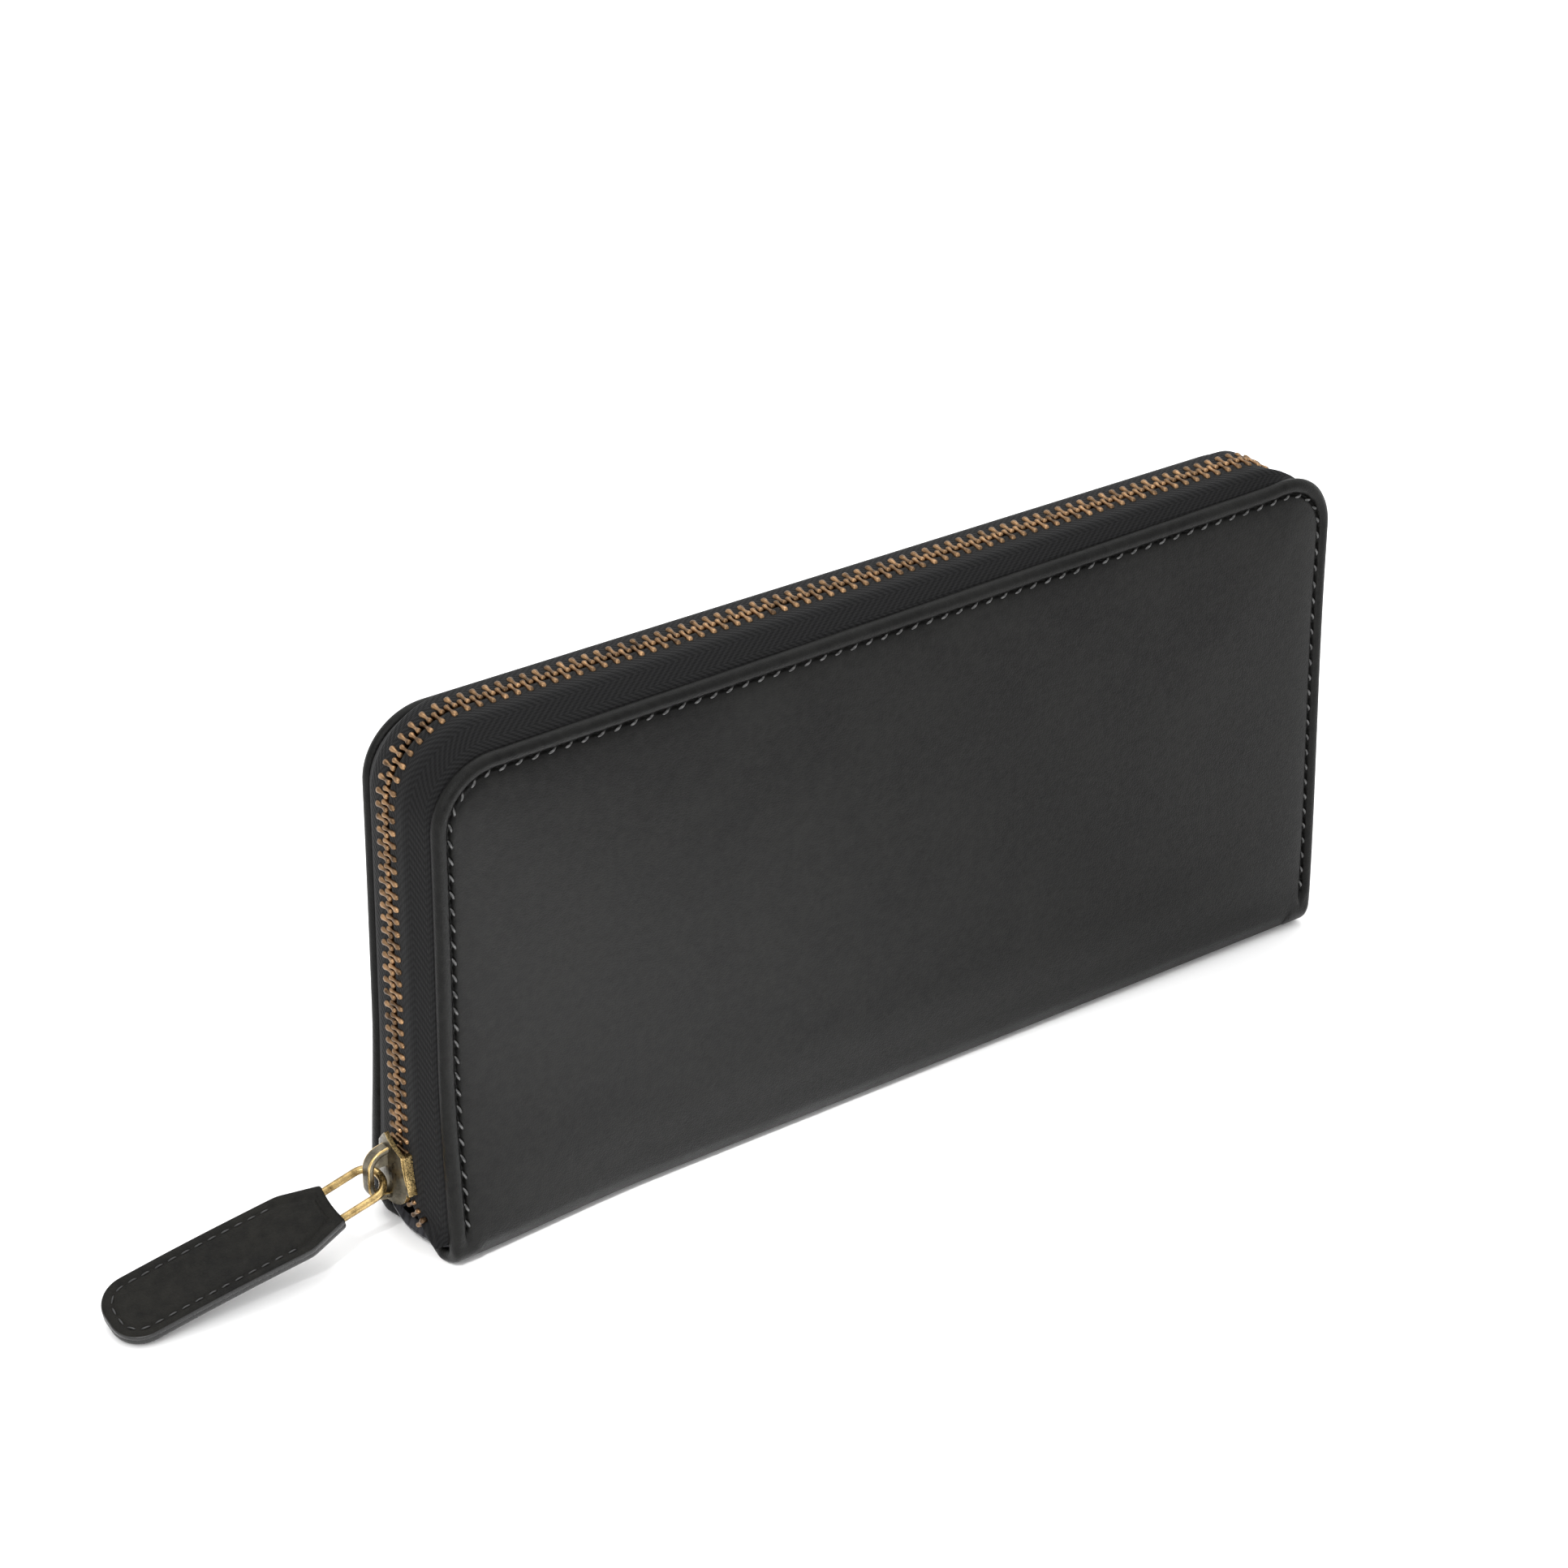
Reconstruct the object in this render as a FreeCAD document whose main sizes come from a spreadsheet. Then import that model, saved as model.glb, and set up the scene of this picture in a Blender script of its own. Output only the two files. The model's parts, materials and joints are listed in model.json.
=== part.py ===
import FreeCAD, Part
import math
import os
import Sketcher

from FreeCAD import Placement, Rotation, Vector

# Long zip-around wallet standing on its spine.
# +X runs along the spine, +Y goes from the front cover to the back cover and +Z is up.
# The origin is the middle of the flat underside of the spine.  All sizes are in millimetres.

DIMENSIONS = [
    ("wallet_length", 198, "length of the covers"),
    ("wallet_height", 100, "height of the covers above the table"),
    ("thick_left", 24.4, "thickness over both covers at the left end"),
    ("thick_right", 18.5, "thickness over both covers at the right end"),
    ("corner_radius", 12.5, "top corners of the covers"),
    ("hinge_height", 6, "where the covers bend on the spine"),
    ("leather_thick", 1.2, "outer leather"),
    ("edge_thick", 1.0, "turned-in edge, also padding plus board"),
    ("padding_thick", 0.5, "foam under the outer leather"),
    ("lining_thick", 0.5, "lining of the covers and zip tape"),
    ("edge_width", 6, "width of the turned-in edge"),
    ("slot_thick", 0.4, "one card slot panel"),
    ("slot_length", 182, "card slot panels"),
    ("slot_step", 8, "height from one card slot to the next"),
    ("slot_top", 82, "top of the highest card slot"),
    ("inner_low", 9, "lower edge of what is stitched into the covers"),
    ("spine_radius", 4.5, "outer corners of the spine"),
    ("spine_board", 0.5, "stiffener in the spine"),
    ("spine_lining", 0.4, "lining of the spine"),
    ("pocket_length", 186, "coin pocket walls"),
    ("pocket_top", 84, "top of the coin pocket walls"),
    ("pocket_gap", 4.2, "width inside the coin pocket"),
    ("pocket_wall", 0.4, "coin pocket wall"),
    ("gusset_thick", 0.3, "pleated side gusset"),
    ("gusset_top", 72, "top of the side gussets"),
    ("chain_side", 1.8, "how far the zip stands out at the left side"),
    ("chain_top", 3.8, "how far the zip stands up at the top left"),
    ("chain_drop", 2.0, "how much lower and further in the zip is at the right"),
    ("chain_radius", 15, "corners of the zip"),
    ("tooth_pitch", 2.5, "zip tooth pitch of one row"),
    ("tooth_thick", 1.0, "zip tooth, along the row"),
    ("tooth_depth", 2.0, "zip tooth, square to the tape"),
    ("tooth_reach", 0.75, "how far a tooth reaches past the middle"),
    ("row_half", 2.9, "half the width of the closed zip chain"),
    ("tape_edge", 0.85, "from the middle of the chain to the tape"),
    ("slider_low", 10, "lower end of the zip slider"),
    ("slider_length", 12, "zip slider, along the chain"),
    ("slider_half", 4.6, "half width of the zip slider"),
    ("slider_plate", 1.15, "plates and lips of the zip slider"),
    ("bridge_gap", 4.0, "opening under the slider bridge"),
    ("bridge_width", 2.4, "slider bridge, across"),
    ("bridge_thick", 1.3, "slider bridge metal"),
    ("wire_radius", 0.65, "wire of the pull link"),
    ("link_length", 10.9, "pull link, bar to bar"),
    ("link_width", 7, "pull link, wire to wire"),
    ("tab_length", 44.5, "leather pull tab"),
    ("tab_width", 14.2, "leather pull tab"),
    ("tab_neck", 9.4, "pull tab beside the link"),
    ("tab_layer", 1.15, "one of the two leathers of the pull tab"),
    ("pull_yaw", 5, "degrees the pull turns towards the back"),
    ("pull_roll", 14, "degrees the pull leans, its front side down"),
    ("link_drop", 18.7, "degrees the pull link points down"),
    ("tab_drop", 13.0, "degrees the pull tab points down, to just above the table"),
    ("stitch_pitch", 3.3, "seam stitches"),
    ("stitch_length", 2.0, "thread showing on one stitch"),
    ("stitch_width", 0.5, "seam thread"),
    ("stitch_height", 0.2, "how far the thread stands on the leather"),
    ("stitch_inset", 2.8, "from the edge of the leather to the seam"),
    ("coin_pitch", 2.0, "coin zip tooth pitch"),
    ("coin_slider", 7, "coin zip slider length"),
]

LEFT, RIGHT = -1, 1
FRONT, BACK = -1, 1
SIDE_NAMES = {FRONT: "front", BACK: "back"}
FIT = 0.1   # play between pieces that are stitched or glued together

doc = FreeCAD.newDocument("long_wallet")
sheet = doc.addObject("Spreadsheet::Sheet", "dimensions")
for row, (alias, value, note) in enumerate(DIMENSIONS, start=1):
    sheet.set("A%d" % row, alias)
    sheet.set("B%d" % row, str(value))
    sheet.set("C%d" % row, note)
    sheet.setAlias("B%d" % row, alias)
doc.recompute()

pieces = []


def size(alias):
    return float(sheet.get(alias))


def bind(target, **values):
    """Set properties of an object: a text is an expression of the sheet's cells, a number is fixed."""
    for prop, value in values.items():
        if isinstance(value, str):
            words = ["dimensions." + word if word.isidentifier() else word for word in value.split()]
            target.setExpression(prop, " ".join(words))
        else:
            setattr(target, prop, value)


def keep(target, label):
    """Give a finished sub-part its label and put it on the list to export."""
    target.Label = label
    pieces.append(target)
    return target


def shape_piece(label, shape, placement=None):
    """A sub-part whose shape is a free form or a group of small separate solids."""
    feature = doc.addObject("Part::Feature", label)
    feature.Shape = shape
    feature.Placement = placement or Placement()
    return keep(feature, label)


def primitive(kind, name, placement, **values):
    target = doc.addObject("Part::" + kind, name)
    bind(target, **values)
    target.Placement = placement
    return target


def box(name, x, y, z, length, width, height):
    """A block from its low corner."""
    return primitive("Box", name, at(x, y, z), Length=length, Width=width, Height=height)


def at(x, y, z, turn=Rotation()):
    return Placement(Vector(x, y, z), turn)


def boolean(kind, label, base, tool):
    target = doc.addObject("Part::" + kind, label)
    target.Base = base
    target.Tool = tool
    return target


def fuse(label, shapes):
    target = doc.addObject("Part::MultiFuse", label)
    target.Shapes = shapes
    return target


# ---------------------------------------------------------------- wallet shape

def half_thickness(x):
    """Half the wallet's thickness at x: it is thicker at the left than at the right."""
    share = x / size("wallet_length") + 0.5
    return (size("thick_left") * (1 - share) + size("thick_right") * share) / 2


def taper_angle():
    return math.degrees(math.atan((size("thick_left") - size("thick_right")) / 2 / size("wallet_length")))


def cover_frame(side, depth=0.0):
    """The frame of a cover: its local XZ plane lies depth inside the outer face."""
    turn = Rotation(Vector(0, 0, 1), -side * taper_angle())
    face = Placement(Vector(0, side * half_thickness(0), 0), turn)
    return face.multiply(Placement(Vector(0, -side * depth, 0), Rotation()))


def distance_outside(x, z):
    """Distance from a point to the outline of the covers, positive outside."""
    radius = size("corner_radius")
    along = abs(x) - size("wallet_length") / 2 + radius
    above = z - size("wallet_height") + radius
    if along > 0 and above > 0:
        return math.hypot(along, above) - radius
    return max(along, above) - radius


def stack(*aliases):
    """Height of several layers on each other."""
    return sum(size(alias) for alias in aliases)


def origin_plane(body, role):
    return next(plane for plane in body.Origin.OriginFeatures if plane.Role == role)


def outline_sketch(body, name, half, low, high, radius):
    """A plate outline with rounded upper corners, on the body's XZ plane."""
    sketch = body.newObject("Sketcher::SketchObject", name)
    sketch.AttachmentSupport = (origin_plane(body, "XZ_Plane"), [""])
    sketch.MapMode = "FlatFace"
    a, b, c, r = 80.0, 10.0, 60.0, 3.0
    up = Vector(0, 0, 1)
    sketch.addGeometry([
        Part.LineSegment(Vector(-a, b, 0), Vector(a, b, 0)),
        Part.LineSegment(Vector(a, b, 0), Vector(a, c - r, 0)),
        Part.ArcOfCircle(Part.Circle(Vector(a - r, c - r, 0), up, r), 0, math.pi / 2),
        Part.LineSegment(Vector(a - r, c, 0), Vector(r - a, c, 0)),
        Part.ArcOfCircle(Part.Circle(Vector(r - a, c - r, 0), up, r), math.pi / 2, math.pi),
        Part.LineSegment(Vector(-a, c - r, 0), Vector(-a, b, 0)),
    ])
    bottom, right, arc_right, top, arc_left, left = range(6)
    sketch.addConstraint([
        Sketcher.Constraint("Coincident", bottom, 2, right, 1),
        Sketcher.Constraint("Tangent", right, 2, arc_right, 1),
        Sketcher.Constraint("Tangent", arc_right, 2, top, 1),
        Sketcher.Constraint("Tangent", top, 2, arc_left, 1),
        Sketcher.Constraint("Tangent", arc_left, 2, left, 1),
        Sketcher.Constraint("Coincident", left, 2, bottom, 1),
        Sketcher.Constraint("Horizontal", bottom),
        Sketcher.Constraint("Vertical", right),
        Sketcher.Constraint("Vertical", left),
        Sketcher.Constraint("Horizontal", top),
        Sketcher.Constraint("Equal", arc_left, arc_right),
    ])
    for key, constraint, expression in (
        ("half", Sketcher.Constraint("DistanceX", -1, 1, bottom, 2, a), half),
        ("other_half", Sketcher.Constraint("DistanceX", bottom, 1, -1, 1, a), half),
        ("low", Sketcher.Constraint("DistanceY", -1, 1, bottom, 1, b), low),
        ("high", Sketcher.Constraint("DistanceY", -1, 1, top, 1, c), high),
        ("radius", Sketcher.Constraint("Radius", arc_right, r), radius),
    ):
        index = sketch.addConstraint(constraint)
        sketch.renameConstraint(index, key)
        bind(sketch, **{"Constraints." + key: expression})
    return sketch


def cover_plate(label, side, depth, thickness, half, low, high, radius, window=None):
    """A flat layer of a cover; window cuts a smaller outline out of it, open at the bottom."""
    body = doc.addObject("PartDesign::Body", label)
    sketch = outline_sketch(body, label + "_outline", half, low, high, radius)
    pad = body.newObject("PartDesign::Pad", label + "_pad")
    pad.Profile = sketch
    pad.Reversed = side == FRONT
    bind(pad, Length=thickness)
    doc.recompute()
    if window:
        whole = pad.Shape.Volume
        hole = outline_sketch(body, label + "_window", *window)
        pocket = body.newObject("PartDesign::Pocket", label + "_pocket")
        pocket.Profile = hole
        pocket.Type = "ThroughAll"
        pocket.Midplane = True
        doc.recompute()
        if pocket.Shape.Volume > 0.5 * whole:
            raise RuntimeError(label + " kept its middle")
    body.Placement = cover_frame(side, depth)
    return keep(body, label)


# ---------------------------------------------------------------- covers

HALF = "wallet_length / 2"


def make_cover(side):
    name = SIDE_NAMES[side]
    under_leather = size("leather_thick")
    under_edge = under_leather + size("edge_thick")
    cover_plate(name + "_outer_leather", side, 0, "leather_thick",
                HALF, "hinge_height + 0.3", "wallet_height", "corner_radius")
    window = (HALF + " - edge_width", "2", "wallet_height - edge_width", "corner_radius - edge_width")
    cover_plate(name + "_turned_edge", side, under_leather, "edge_thick", HALF + " - 0.2",
                "hinge_height + 0.3", "wallet_height - 0.2", "corner_radius - 0.2", window)
    inner = dict(half=HALF + " - edge_width - 0.1", low="inner_low",
                 high="wallet_height - edge_width - 0.1", radius="corner_radius - edge_width - 0.1")
    cover_plate(name + "_foam_padding", side, under_leather, "padding_thick", **inner)
    cover_plate(name + "_stiffener_board", side, under_leather + size("padding_thick"),
                "edge_thick - padding_thick", **inner)
    cover_plate(name + "_lining", side, under_edge, "lining_thick", **inner)
    for index in range(4):
        depth = under_edge + size("lining_thick") + index * size("slot_thick")
        cover_plate("%s_card_slot_%d" % (name, index + 1), side, depth, "slot_thick",
                    "slot_length / 2", "inner_low", "slot_top - %d * slot_step" % index, "lining_thick")


# ---------------------------------------------------------------- spine

def tapered_block(name, low, high, inset):
    """A block that follows the wallet's taper: the wedge's long way turns onto X."""
    turn = Rotation(Vector(0, 0, 1), -90)
    return primitive("Wedge", name, at(0, 0, 0, turn),
                     Ymin="-1 * wallet_length / 2", Ymax="wallet_length / 2",
                     Zmin=low, Zmax=high, Z2min=low, Z2max=high,
                     Xmin="-1 * thick_left / 2 + " + inset, Xmax="thick_left / 2 - " + inset,
                     X2min="-1 * thick_right / 2 + " + inset, X2max="thick_right / 2 - " + inset)


def round_edges(label, target, radius_of):
    """Round the edges for which radius_of(box of the edge) gives a radius."""
    doc.recompute()
    fillet = doc.addObject("Part::Fillet", label)
    fillet.Base = target
    radii = [radius_of(edge.BoundBox) for edge in target.Shape.Edges]
    fillet.Edges = [(index, radius, radius) for index, radius in enumerate(radii, start=1) if radius]
    return fillet


def make_spine():
    """A leather channel with rounded lower corners, its stiffener and its lining."""
    leather = size("leather_thick")
    radius = size("spine_radius")
    outer = tapered_block("spine_outside", "0", "hinge_height", "0")
    inner = tapered_block("spine_inside", "leather_thick", "hinge_height + 1", "leather_thick")

    def corner(edge):
        if edge.XLength < size("wallet_length") / 2 or edge.ZMax > leather + FIT:
            return 0
        return radius if edge.ZMax < FIT else radius - leather

    channel = boolean("Cut", "spine_channel", outer, inner)
    keep(round_edges("spine_rounded", channel, corner), "spine_leather")
    board_top = "leather_thick + spine_board"
    keep(tapered_block("spine_board_strip", "leather_thick", board_top, "spine_radius"), "spine_stiffener")
    keep(tapered_block("spine_lining_strip", board_top, board_top + " + spine_lining", "spine_radius - 0.6"),
         "spine_lining")


# ---------------------------------------------------------------- coin pocket

COIN_ZIP_DOWN = 1.6     # the coin zip lies this far below the top of the pocket
COIN_EDGE = 0.4         # from the middle of the coin zip to its tapes
COIN_TAPE = 0.3
COIN_TOOTH = 0.9        # height of a coin zip tooth
COIN_PLATE = 0.6        # plates and lips of the coin slider
COIN_WEB = 0.8          # length of the coin slider's web


def coin_zip_run():
    """Half the length of the coin zip's row of teeth."""
    return size("pocket_length") / 2 - 6


def coin_slider_start():
    return coin_zip_run() - size("coin_slider") - 1


def make_coin_pocket():
    """Two walls on the spine, with a small zip between them just below their top."""
    start = -size("pocket_length") / 2
    floor = stack("leather_thick", "spine_board", "spine_lining")
    wall_height = "pocket_top - leather_thick - spine_board - spine_lining"
    inside = size("pocket_gap") / 2
    tape_z = size("pocket_top") - COIN_ZIP_DOWN
    for side in (FRONT, BACK):
        name = SIDE_NAMES[side]
        wall_y = inside if side == BACK else -inside - size("pocket_wall")
        wall = box("wall", start, wall_y, floor, "pocket_length", "pocket_wall", wall_height)
        keep(wall, "coin_pocket_%s_wall" % name)
        tape_y = COIN_EDGE if side == BACK else -inside
        tape = box("tape", start, tape_y, tape_z, "pocket_length", inside - COIN_EDGE, COIN_TAPE)
        keep(tape, "coin_zip_%s_tape" % name)
    teeth_z = tape_z + COIN_TAPE + 0.05
    tooth_length, tooth_width = 0.7, 1.6
    web_from = coin_slider_start() - tooth_length - FIT
    web_to = coin_slider_start() + COIN_WEB + FIT
    teeth = []
    for index in range(2 * int(2 * coin_zip_run() / size("coin_pitch"))):
        x = -coin_zip_run() + index * size("coin_pitch") / 2
        near = -0.35 if index % 2 else 0.35 - tooth_width
        if not web_from < x < web_to:
            teeth.append(Part.makeBox(tooth_length, tooth_width, COIN_TOOTH, Vector(x, near, teeth_z)))
    shape_piece("coin_zip_teeth", Part.makeCompound(teeth))
    stops = [Part.makeBox(1.4, 2.8, 1.0, Vector(x, -1.4, teeth_z))
             for x in (-coin_zip_run() - 3, coin_zip_run() + 1.6)]
    shape_piece("coin_zip_end_stops", Part.makeCompound(stops))


def make_coin_slider():
    """The coin zip's slider straddles its teeth and tapes; its pull lies flat along the zip."""
    tape_z = size("pocket_top") - COIN_ZIP_DOWN
    start = coin_slider_start()
    half = size("pocket_gap") / 2 - FIT
    top, bottom = tape_z + 1.4, tape_z - 1.0

    parts = [box("coin_plate", start, -half, z, "coin_slider", 2 * half, COIN_PLATE) for z in (top, bottom)]
    for y in (half - COIN_PLATE, -half):
        parts.append(box("coin_lip", start, y, tape_z + 0.5, "coin_slider", COIN_PLATE, top - tape_z - 0.5))
        parts.append(box("coin_lip", start, y, tape_z - 0.5, "coin_slider", COIN_PLATE, 0.3))
    parts.append(box("coin_web", start, -0.3, tape_z - 0.5, COIN_WEB, 0.6, top - tape_z + 0.6))
    keep(fuse("coin_slider_solid", parts), "coin_slider_body")

    lug_z = top + COIN_PLATE
    pin_x, pin_z = start + 4, lug_z + 1.3
    across = Rotation(Vector(1, 0, 0), -90)
    lug = box("coin_lug", start + 2.5, -0.6, lug_z, 3, 1.2, 2.6)
    hole = primitive("Cylinder", "coin_lug_hole", at(pin_x, -1, pin_z, across), Radius=0.75, Height=2)
    keep(boolean("Cut", "coin_lug_solid", lug, hole), "coin_slider_lug")

    pin = primitive("Cylinder", "coin_pin", at(pin_x, -1.4, pin_z, across), Radius=0.6, Height=2.8)
    arms = [box("coin_arm", start - 1, y, pin_z - 0.6, 5.6, 0.6, 1.2) for y in (-1.9, 1.3)]
    bar = box("coin_bar", start - 9.5, -1.9, pin_z - 0.6, 8.6, 3.8, 1.2)
    keep(fuse("coin_pull_solid", [pin, bar] + arms), "coin_pull")


# ---------------------------------------------------------------- gussets

def make_gusset(side, end):
    """A pleated side wall between a cover and the coin pocket, folded inwards as a V."""
    thick = size("gusset_thick")
    pocket = size("pocket_gap") / 2 + size("pocket_wall") + 0.05
    cover_depth = stack("leather_thick", "edge_thick", "lining_thick")
    panels = cover_depth + 4 * size("slot_thick")
    x_cover = size("wallet_length") / 2 - 2
    x_bend = size("slot_length") / 2 + 0.6
    x_fold = size("slot_length") / 2 - 8
    x_pocket = size("pocket_length") / 2
    at_cover = half_thickness(end * x_cover) - cover_depth - 0.15
    at_bend = half_thickness(end * x_bend) - panels - 0.15
    room = half_thickness(end * x_fold) - panels
    at_fold = max((room + pocket) / 2, pocket + 2 * thick + 0.35)
    outline = [
        (x_cover, at_cover), (x_bend, at_bend), (x_fold, at_fold), (x_fold, pocket), (x_pocket, pocket),
        (x_pocket, pocket + thick), (x_fold + thick, pocket + thick), (x_fold + thick, at_fold - thick),
        (x_bend, at_bend - thick), (x_cover, at_cover - thick),
    ]
    low = size("inner_low")
    points = [Vector(end * x, side * y, low) for x, y in outline]
    face = Part.Face(Part.makePolygon(points + points[:1]))
    end_name = "left" if end == LEFT else "right"
    shape_piece("%s_%s_gusset" % (end_name, SIDE_NAMES[side]),
                face.extrude(Vector(0, 0, size("gusset_top") - low)))


# ---------------------------------------------------------------- main zip

def rounded_path(points, radius):
    """A flat wire through the points with a tangent arc of the radius at each inner point."""
    edges = []
    start = points[0]
    for before, corner, after in zip(points, points[1:], points[2:]):
        into = (corner - before).normalize()
        out = (after - corner).normalize()
        turn = into.getAngle(out)
        reach = radius * math.tan(turn / 2)
        first = corner - into * reach
        last = corner + out * reach
        inward = (out - into).normalize()
        middle = corner + inward * (radius / math.cos(turn / 2) - radius)
        edges.append(Part.LineSegment(start, first).toShape())
        edges.append(Part.Arc(first, middle, last).toShape())
        start = last
    edges.append(Part.LineSegment(start, points[-1]).toShape())
    return Part.Wire(edges)


MOUTH = 3.5         # the zip rows part this far above the slider's lower end
RIGHT_END = 6.5     # lower end of the zip at the right


def chain_wire():
    """Middle line of the closed chain: up the left side, along the top, down the right side."""
    left = -size("wallet_length") / 2 - size("chain_side")
    right = size("wallet_length") / 2 + size("chain_side") - size("chain_drop")
    top = size("wallet_height") + size("chain_top")
    mouth = size("slider_low") + MOUTH
    corners = [Vector(left, 0, mouth), Vector(left, 0, top),
               Vector(right, 0, top - size("chain_drop")), Vector(right, 0, RIGHT_END)]
    return rounded_path(corners, size("chain_radius"))


def outward(tangent):
    """Square to the path in the XZ plane, pointing out of the wallet."""
    return Vector(-tangent.z, 0, tangent.x)


def chain_stations(wire):
    """Points and directions where the tape needs a section: ends of straights, steps in arcs."""
    stations = []
    for edge in wire.OrderedEdges:
        steps = 14 if edge.Curve.TypeId == "Part::GeomCircle" else 1
        for step in range(steps + 1):
            where = edge.FirstParameter + (edge.LastParameter - edge.FirstParameter) * step / steps
            point = edge.valueAt(where)
            if not stations or (point - stations[-1][0]).Length > FIT:
                stations.append((point, edge.tangentAt(where)))
    return stations


def parting(share):
    """How far a row's edge has moved sideways and down, share of the way from the mouth."""
    sideways = size("thick_left") / 2 - 4.4
    drop = size("slider_low") + MOUTH - size("hinge_height") - 0.9
    angle = share * math.pi / 2
    return sideways * (1 - math.cos(angle)), drop * math.sin(angle)


def tape_section(side, point, tangent, spread=0.0):
    """One section of a zip tape: flat beside the teeth, sloping to the cover, then along it."""
    out = outward(tangent)
    half = size("lining_thick") / 2
    edge = size("tape_edge") + spread
    depth = size("leather_thick") + size("edge_thick") + 0.02
    tuck = distance_outside(point.x, point.z) + 0.7
    flange = tuck + size("edge_width") - 1.0

    def cover_y(offset, inside):
        return half_thickness((point + out * offset).x) - depth - inside

    slope = 1.1
    flat = cover_y(0, 0) - slope
    if not spread:
        flat = min(size("slider_half") + 0.5, flat)
    thick = size("lining_thick")
    profile = [
        (edge, half), (flat, half), (cover_y(-tuck, 0), -tuck), (cover_y(-flange, 0), -flange),
        (cover_y(-flange, thick), -flange), (cover_y(-tuck - thick, thick), -tuck - thick),
        (flat, -half), (edge, -half),
    ]
    corners = [point + out * offset + Vector(0, side * y, 0) for y, offset in profile]
    return Part.makePolygon(corners + corners[:1])


def make_tape(side, stations):
    sections = []
    mouth, up = stations[0]
    steps = 10
    for step in range(steps, 0, -1):
        spread, drop = parting(step / steps)
        sections.append(tape_section(side, mouth - up * drop, up, spread))
    sections += [tape_section(side, point, tangent) for point, tangent in stations]
    shape_piece(SIDE_NAMES[side] + "_zip_tape", Part.makeLoft(sections, True, True))


def tooth_face(point, along, head, normal):
    """A tooth: a head in the middle of the chain and two legs that grip the tape's edge."""
    depth = size("tooth_depth") / 2
    grip = size("lining_thick") / 2 + FIT
    heel = size("row_half")
    neck = size("tape_edge") - FIT
    reach = size("tooth_reach")
    profile = [(reach, depth), (-heel, depth), (-heel, grip), (-neck, grip),
               (-neck, -grip), (-heel, -grip), (-heel, -depth), (reach, -depth)]
    corner = point - along * (size("tooth_thick") / 2)
    corners = [corner + head * u + normal * v for u, v in profile]
    return Part.Face(Part.makePolygon(corners + corners[:1]))


def make_teeth(side, wire):
    """The row's teeth: the closed chain above the slider's mouth and the free ones below it."""
    pitch = size("tooth_pitch")
    thick = size("tooth_thick")
    start = 1.2 + (pitch / 2 if side == BACK else 0)
    count = int((wire.Length - start - 5) / pitch)
    teeth = []
    for point, tangent in path_points(wire, [start + index * pitch for index in range(count)]):
        face = tooth_face(point, tangent, Vector(0, -side, 0), outward(tangent))
        teeth.append(face.extrude(tangent * thick))
    mouth = Vector(-size("wallet_length") / 2 - size("chain_side"), 0, size("slider_low") + MOUTH)
    for share in (0.80, 0.98):
        near, far = parting(share - 0.02), parting(share + 0.02)
        along = Vector(0, side * (far[0] - near[0]), near[1] - far[1]).normalize()
        spread, drop = parting(share)
        head = Vector(0, -side * abs(along.z), -abs(along.y))
        tape_edge = mouth + Vector(0, side * (spread + size("tape_edge")), -drop)
        face = tooth_face(tape_edge + head * (size("tape_edge") + 3 * FIT), along, head, Vector(-1, 0, 0))
        teeth.append(face.extrude(along * thick))
    shape_piece(SIDE_NAMES[side] + "_zip_teeth", Part.makeCompound(teeth))


def path_points(wire, lengths):
    """Points and directions at distances along the path, from its left end."""
    stations = []
    edges = wire.OrderedEdges
    for length in lengths:
        rest = length
        for edge in edges:
            if rest <= edge.Length:
                where = edge.getParameterByLength(rest)
                stations.append((edge.valueAt(where), edge.tangentAt(where)))
                break
            rest -= edge.Length
    return stations


def make_bottom_stop():
    """The clip that joins both rows at the right end: two plates and a web between the tapes."""
    right = size("wallet_length") / 2 + size("chain_side") - size("chain_drop")
    low = RIGHT_END + 0.2
    gap = size("lining_thick") / 2 + 0.2
    plate = 0.6
    width, height = 4.8, 3.4
    parts = [box("stop_plate", x, -width / 2, low, plate, width, height)
             for x in (right - gap - plate, right + gap)]
    parts.append(box("stop_web", right - gap, -0.5, low, "lining_thick + 0.4", 1, height))
    keep(fuse("stop_solid", parts), "zip_bottom_stop")


# ---------------------------------------------------------------- zip slider and pull

def make_slider():
    """Two plates with lips around the chain, and a diamond that parts the rows at the mouth."""
    middle = -size("wallet_length") / 2 - size("chain_side")
    low = size("slider_low")
    half = size("slider_half")
    plate = size("slider_plate")
    channel = size("tooth_depth") / 2 + 0.15
    tape_room = size("lining_thick") / 2 + 0.3
    face = middle - channel - plate
    parts = []
    for plate_x, lip_x in ((face, middle - channel), (middle + channel, middle + tape_room)):
        parts.append(box("slider_plate_block", plate_x, -half, low, "slider_plate", "slider_half * 2",
                         "slider_length"))
        for y in (half - plate, -half):
            parts.append(box("slider_lip", lip_x, y, low, channel - tape_room,
                             "slider_plate", "slider_length"))
    turn = Rotation(Vector(0, 1, 0), Vector(0, 0, 1), Vector(1, 0, 0), "ZXY")
    parts.append(primitive("Wedge", "diamond", at(middle - channel, 0, low, turn), Ymin=0, Ymax=3,
                           Xmin=-0.7, Xmax=0.7, Zmin=0, Zmax=2 * channel,
                           X2min=-0.3, X2max=0.3, Z2min=0, Z2max=2 * channel))
    keep(fuse("slider_solid", parts), "zip_slider_body")
    make_bridge(face, low + 0.6)
    return Vector(face - size("bridge_gap") + size("wire_radius") + FIT, 0, low + 5.1)


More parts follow.
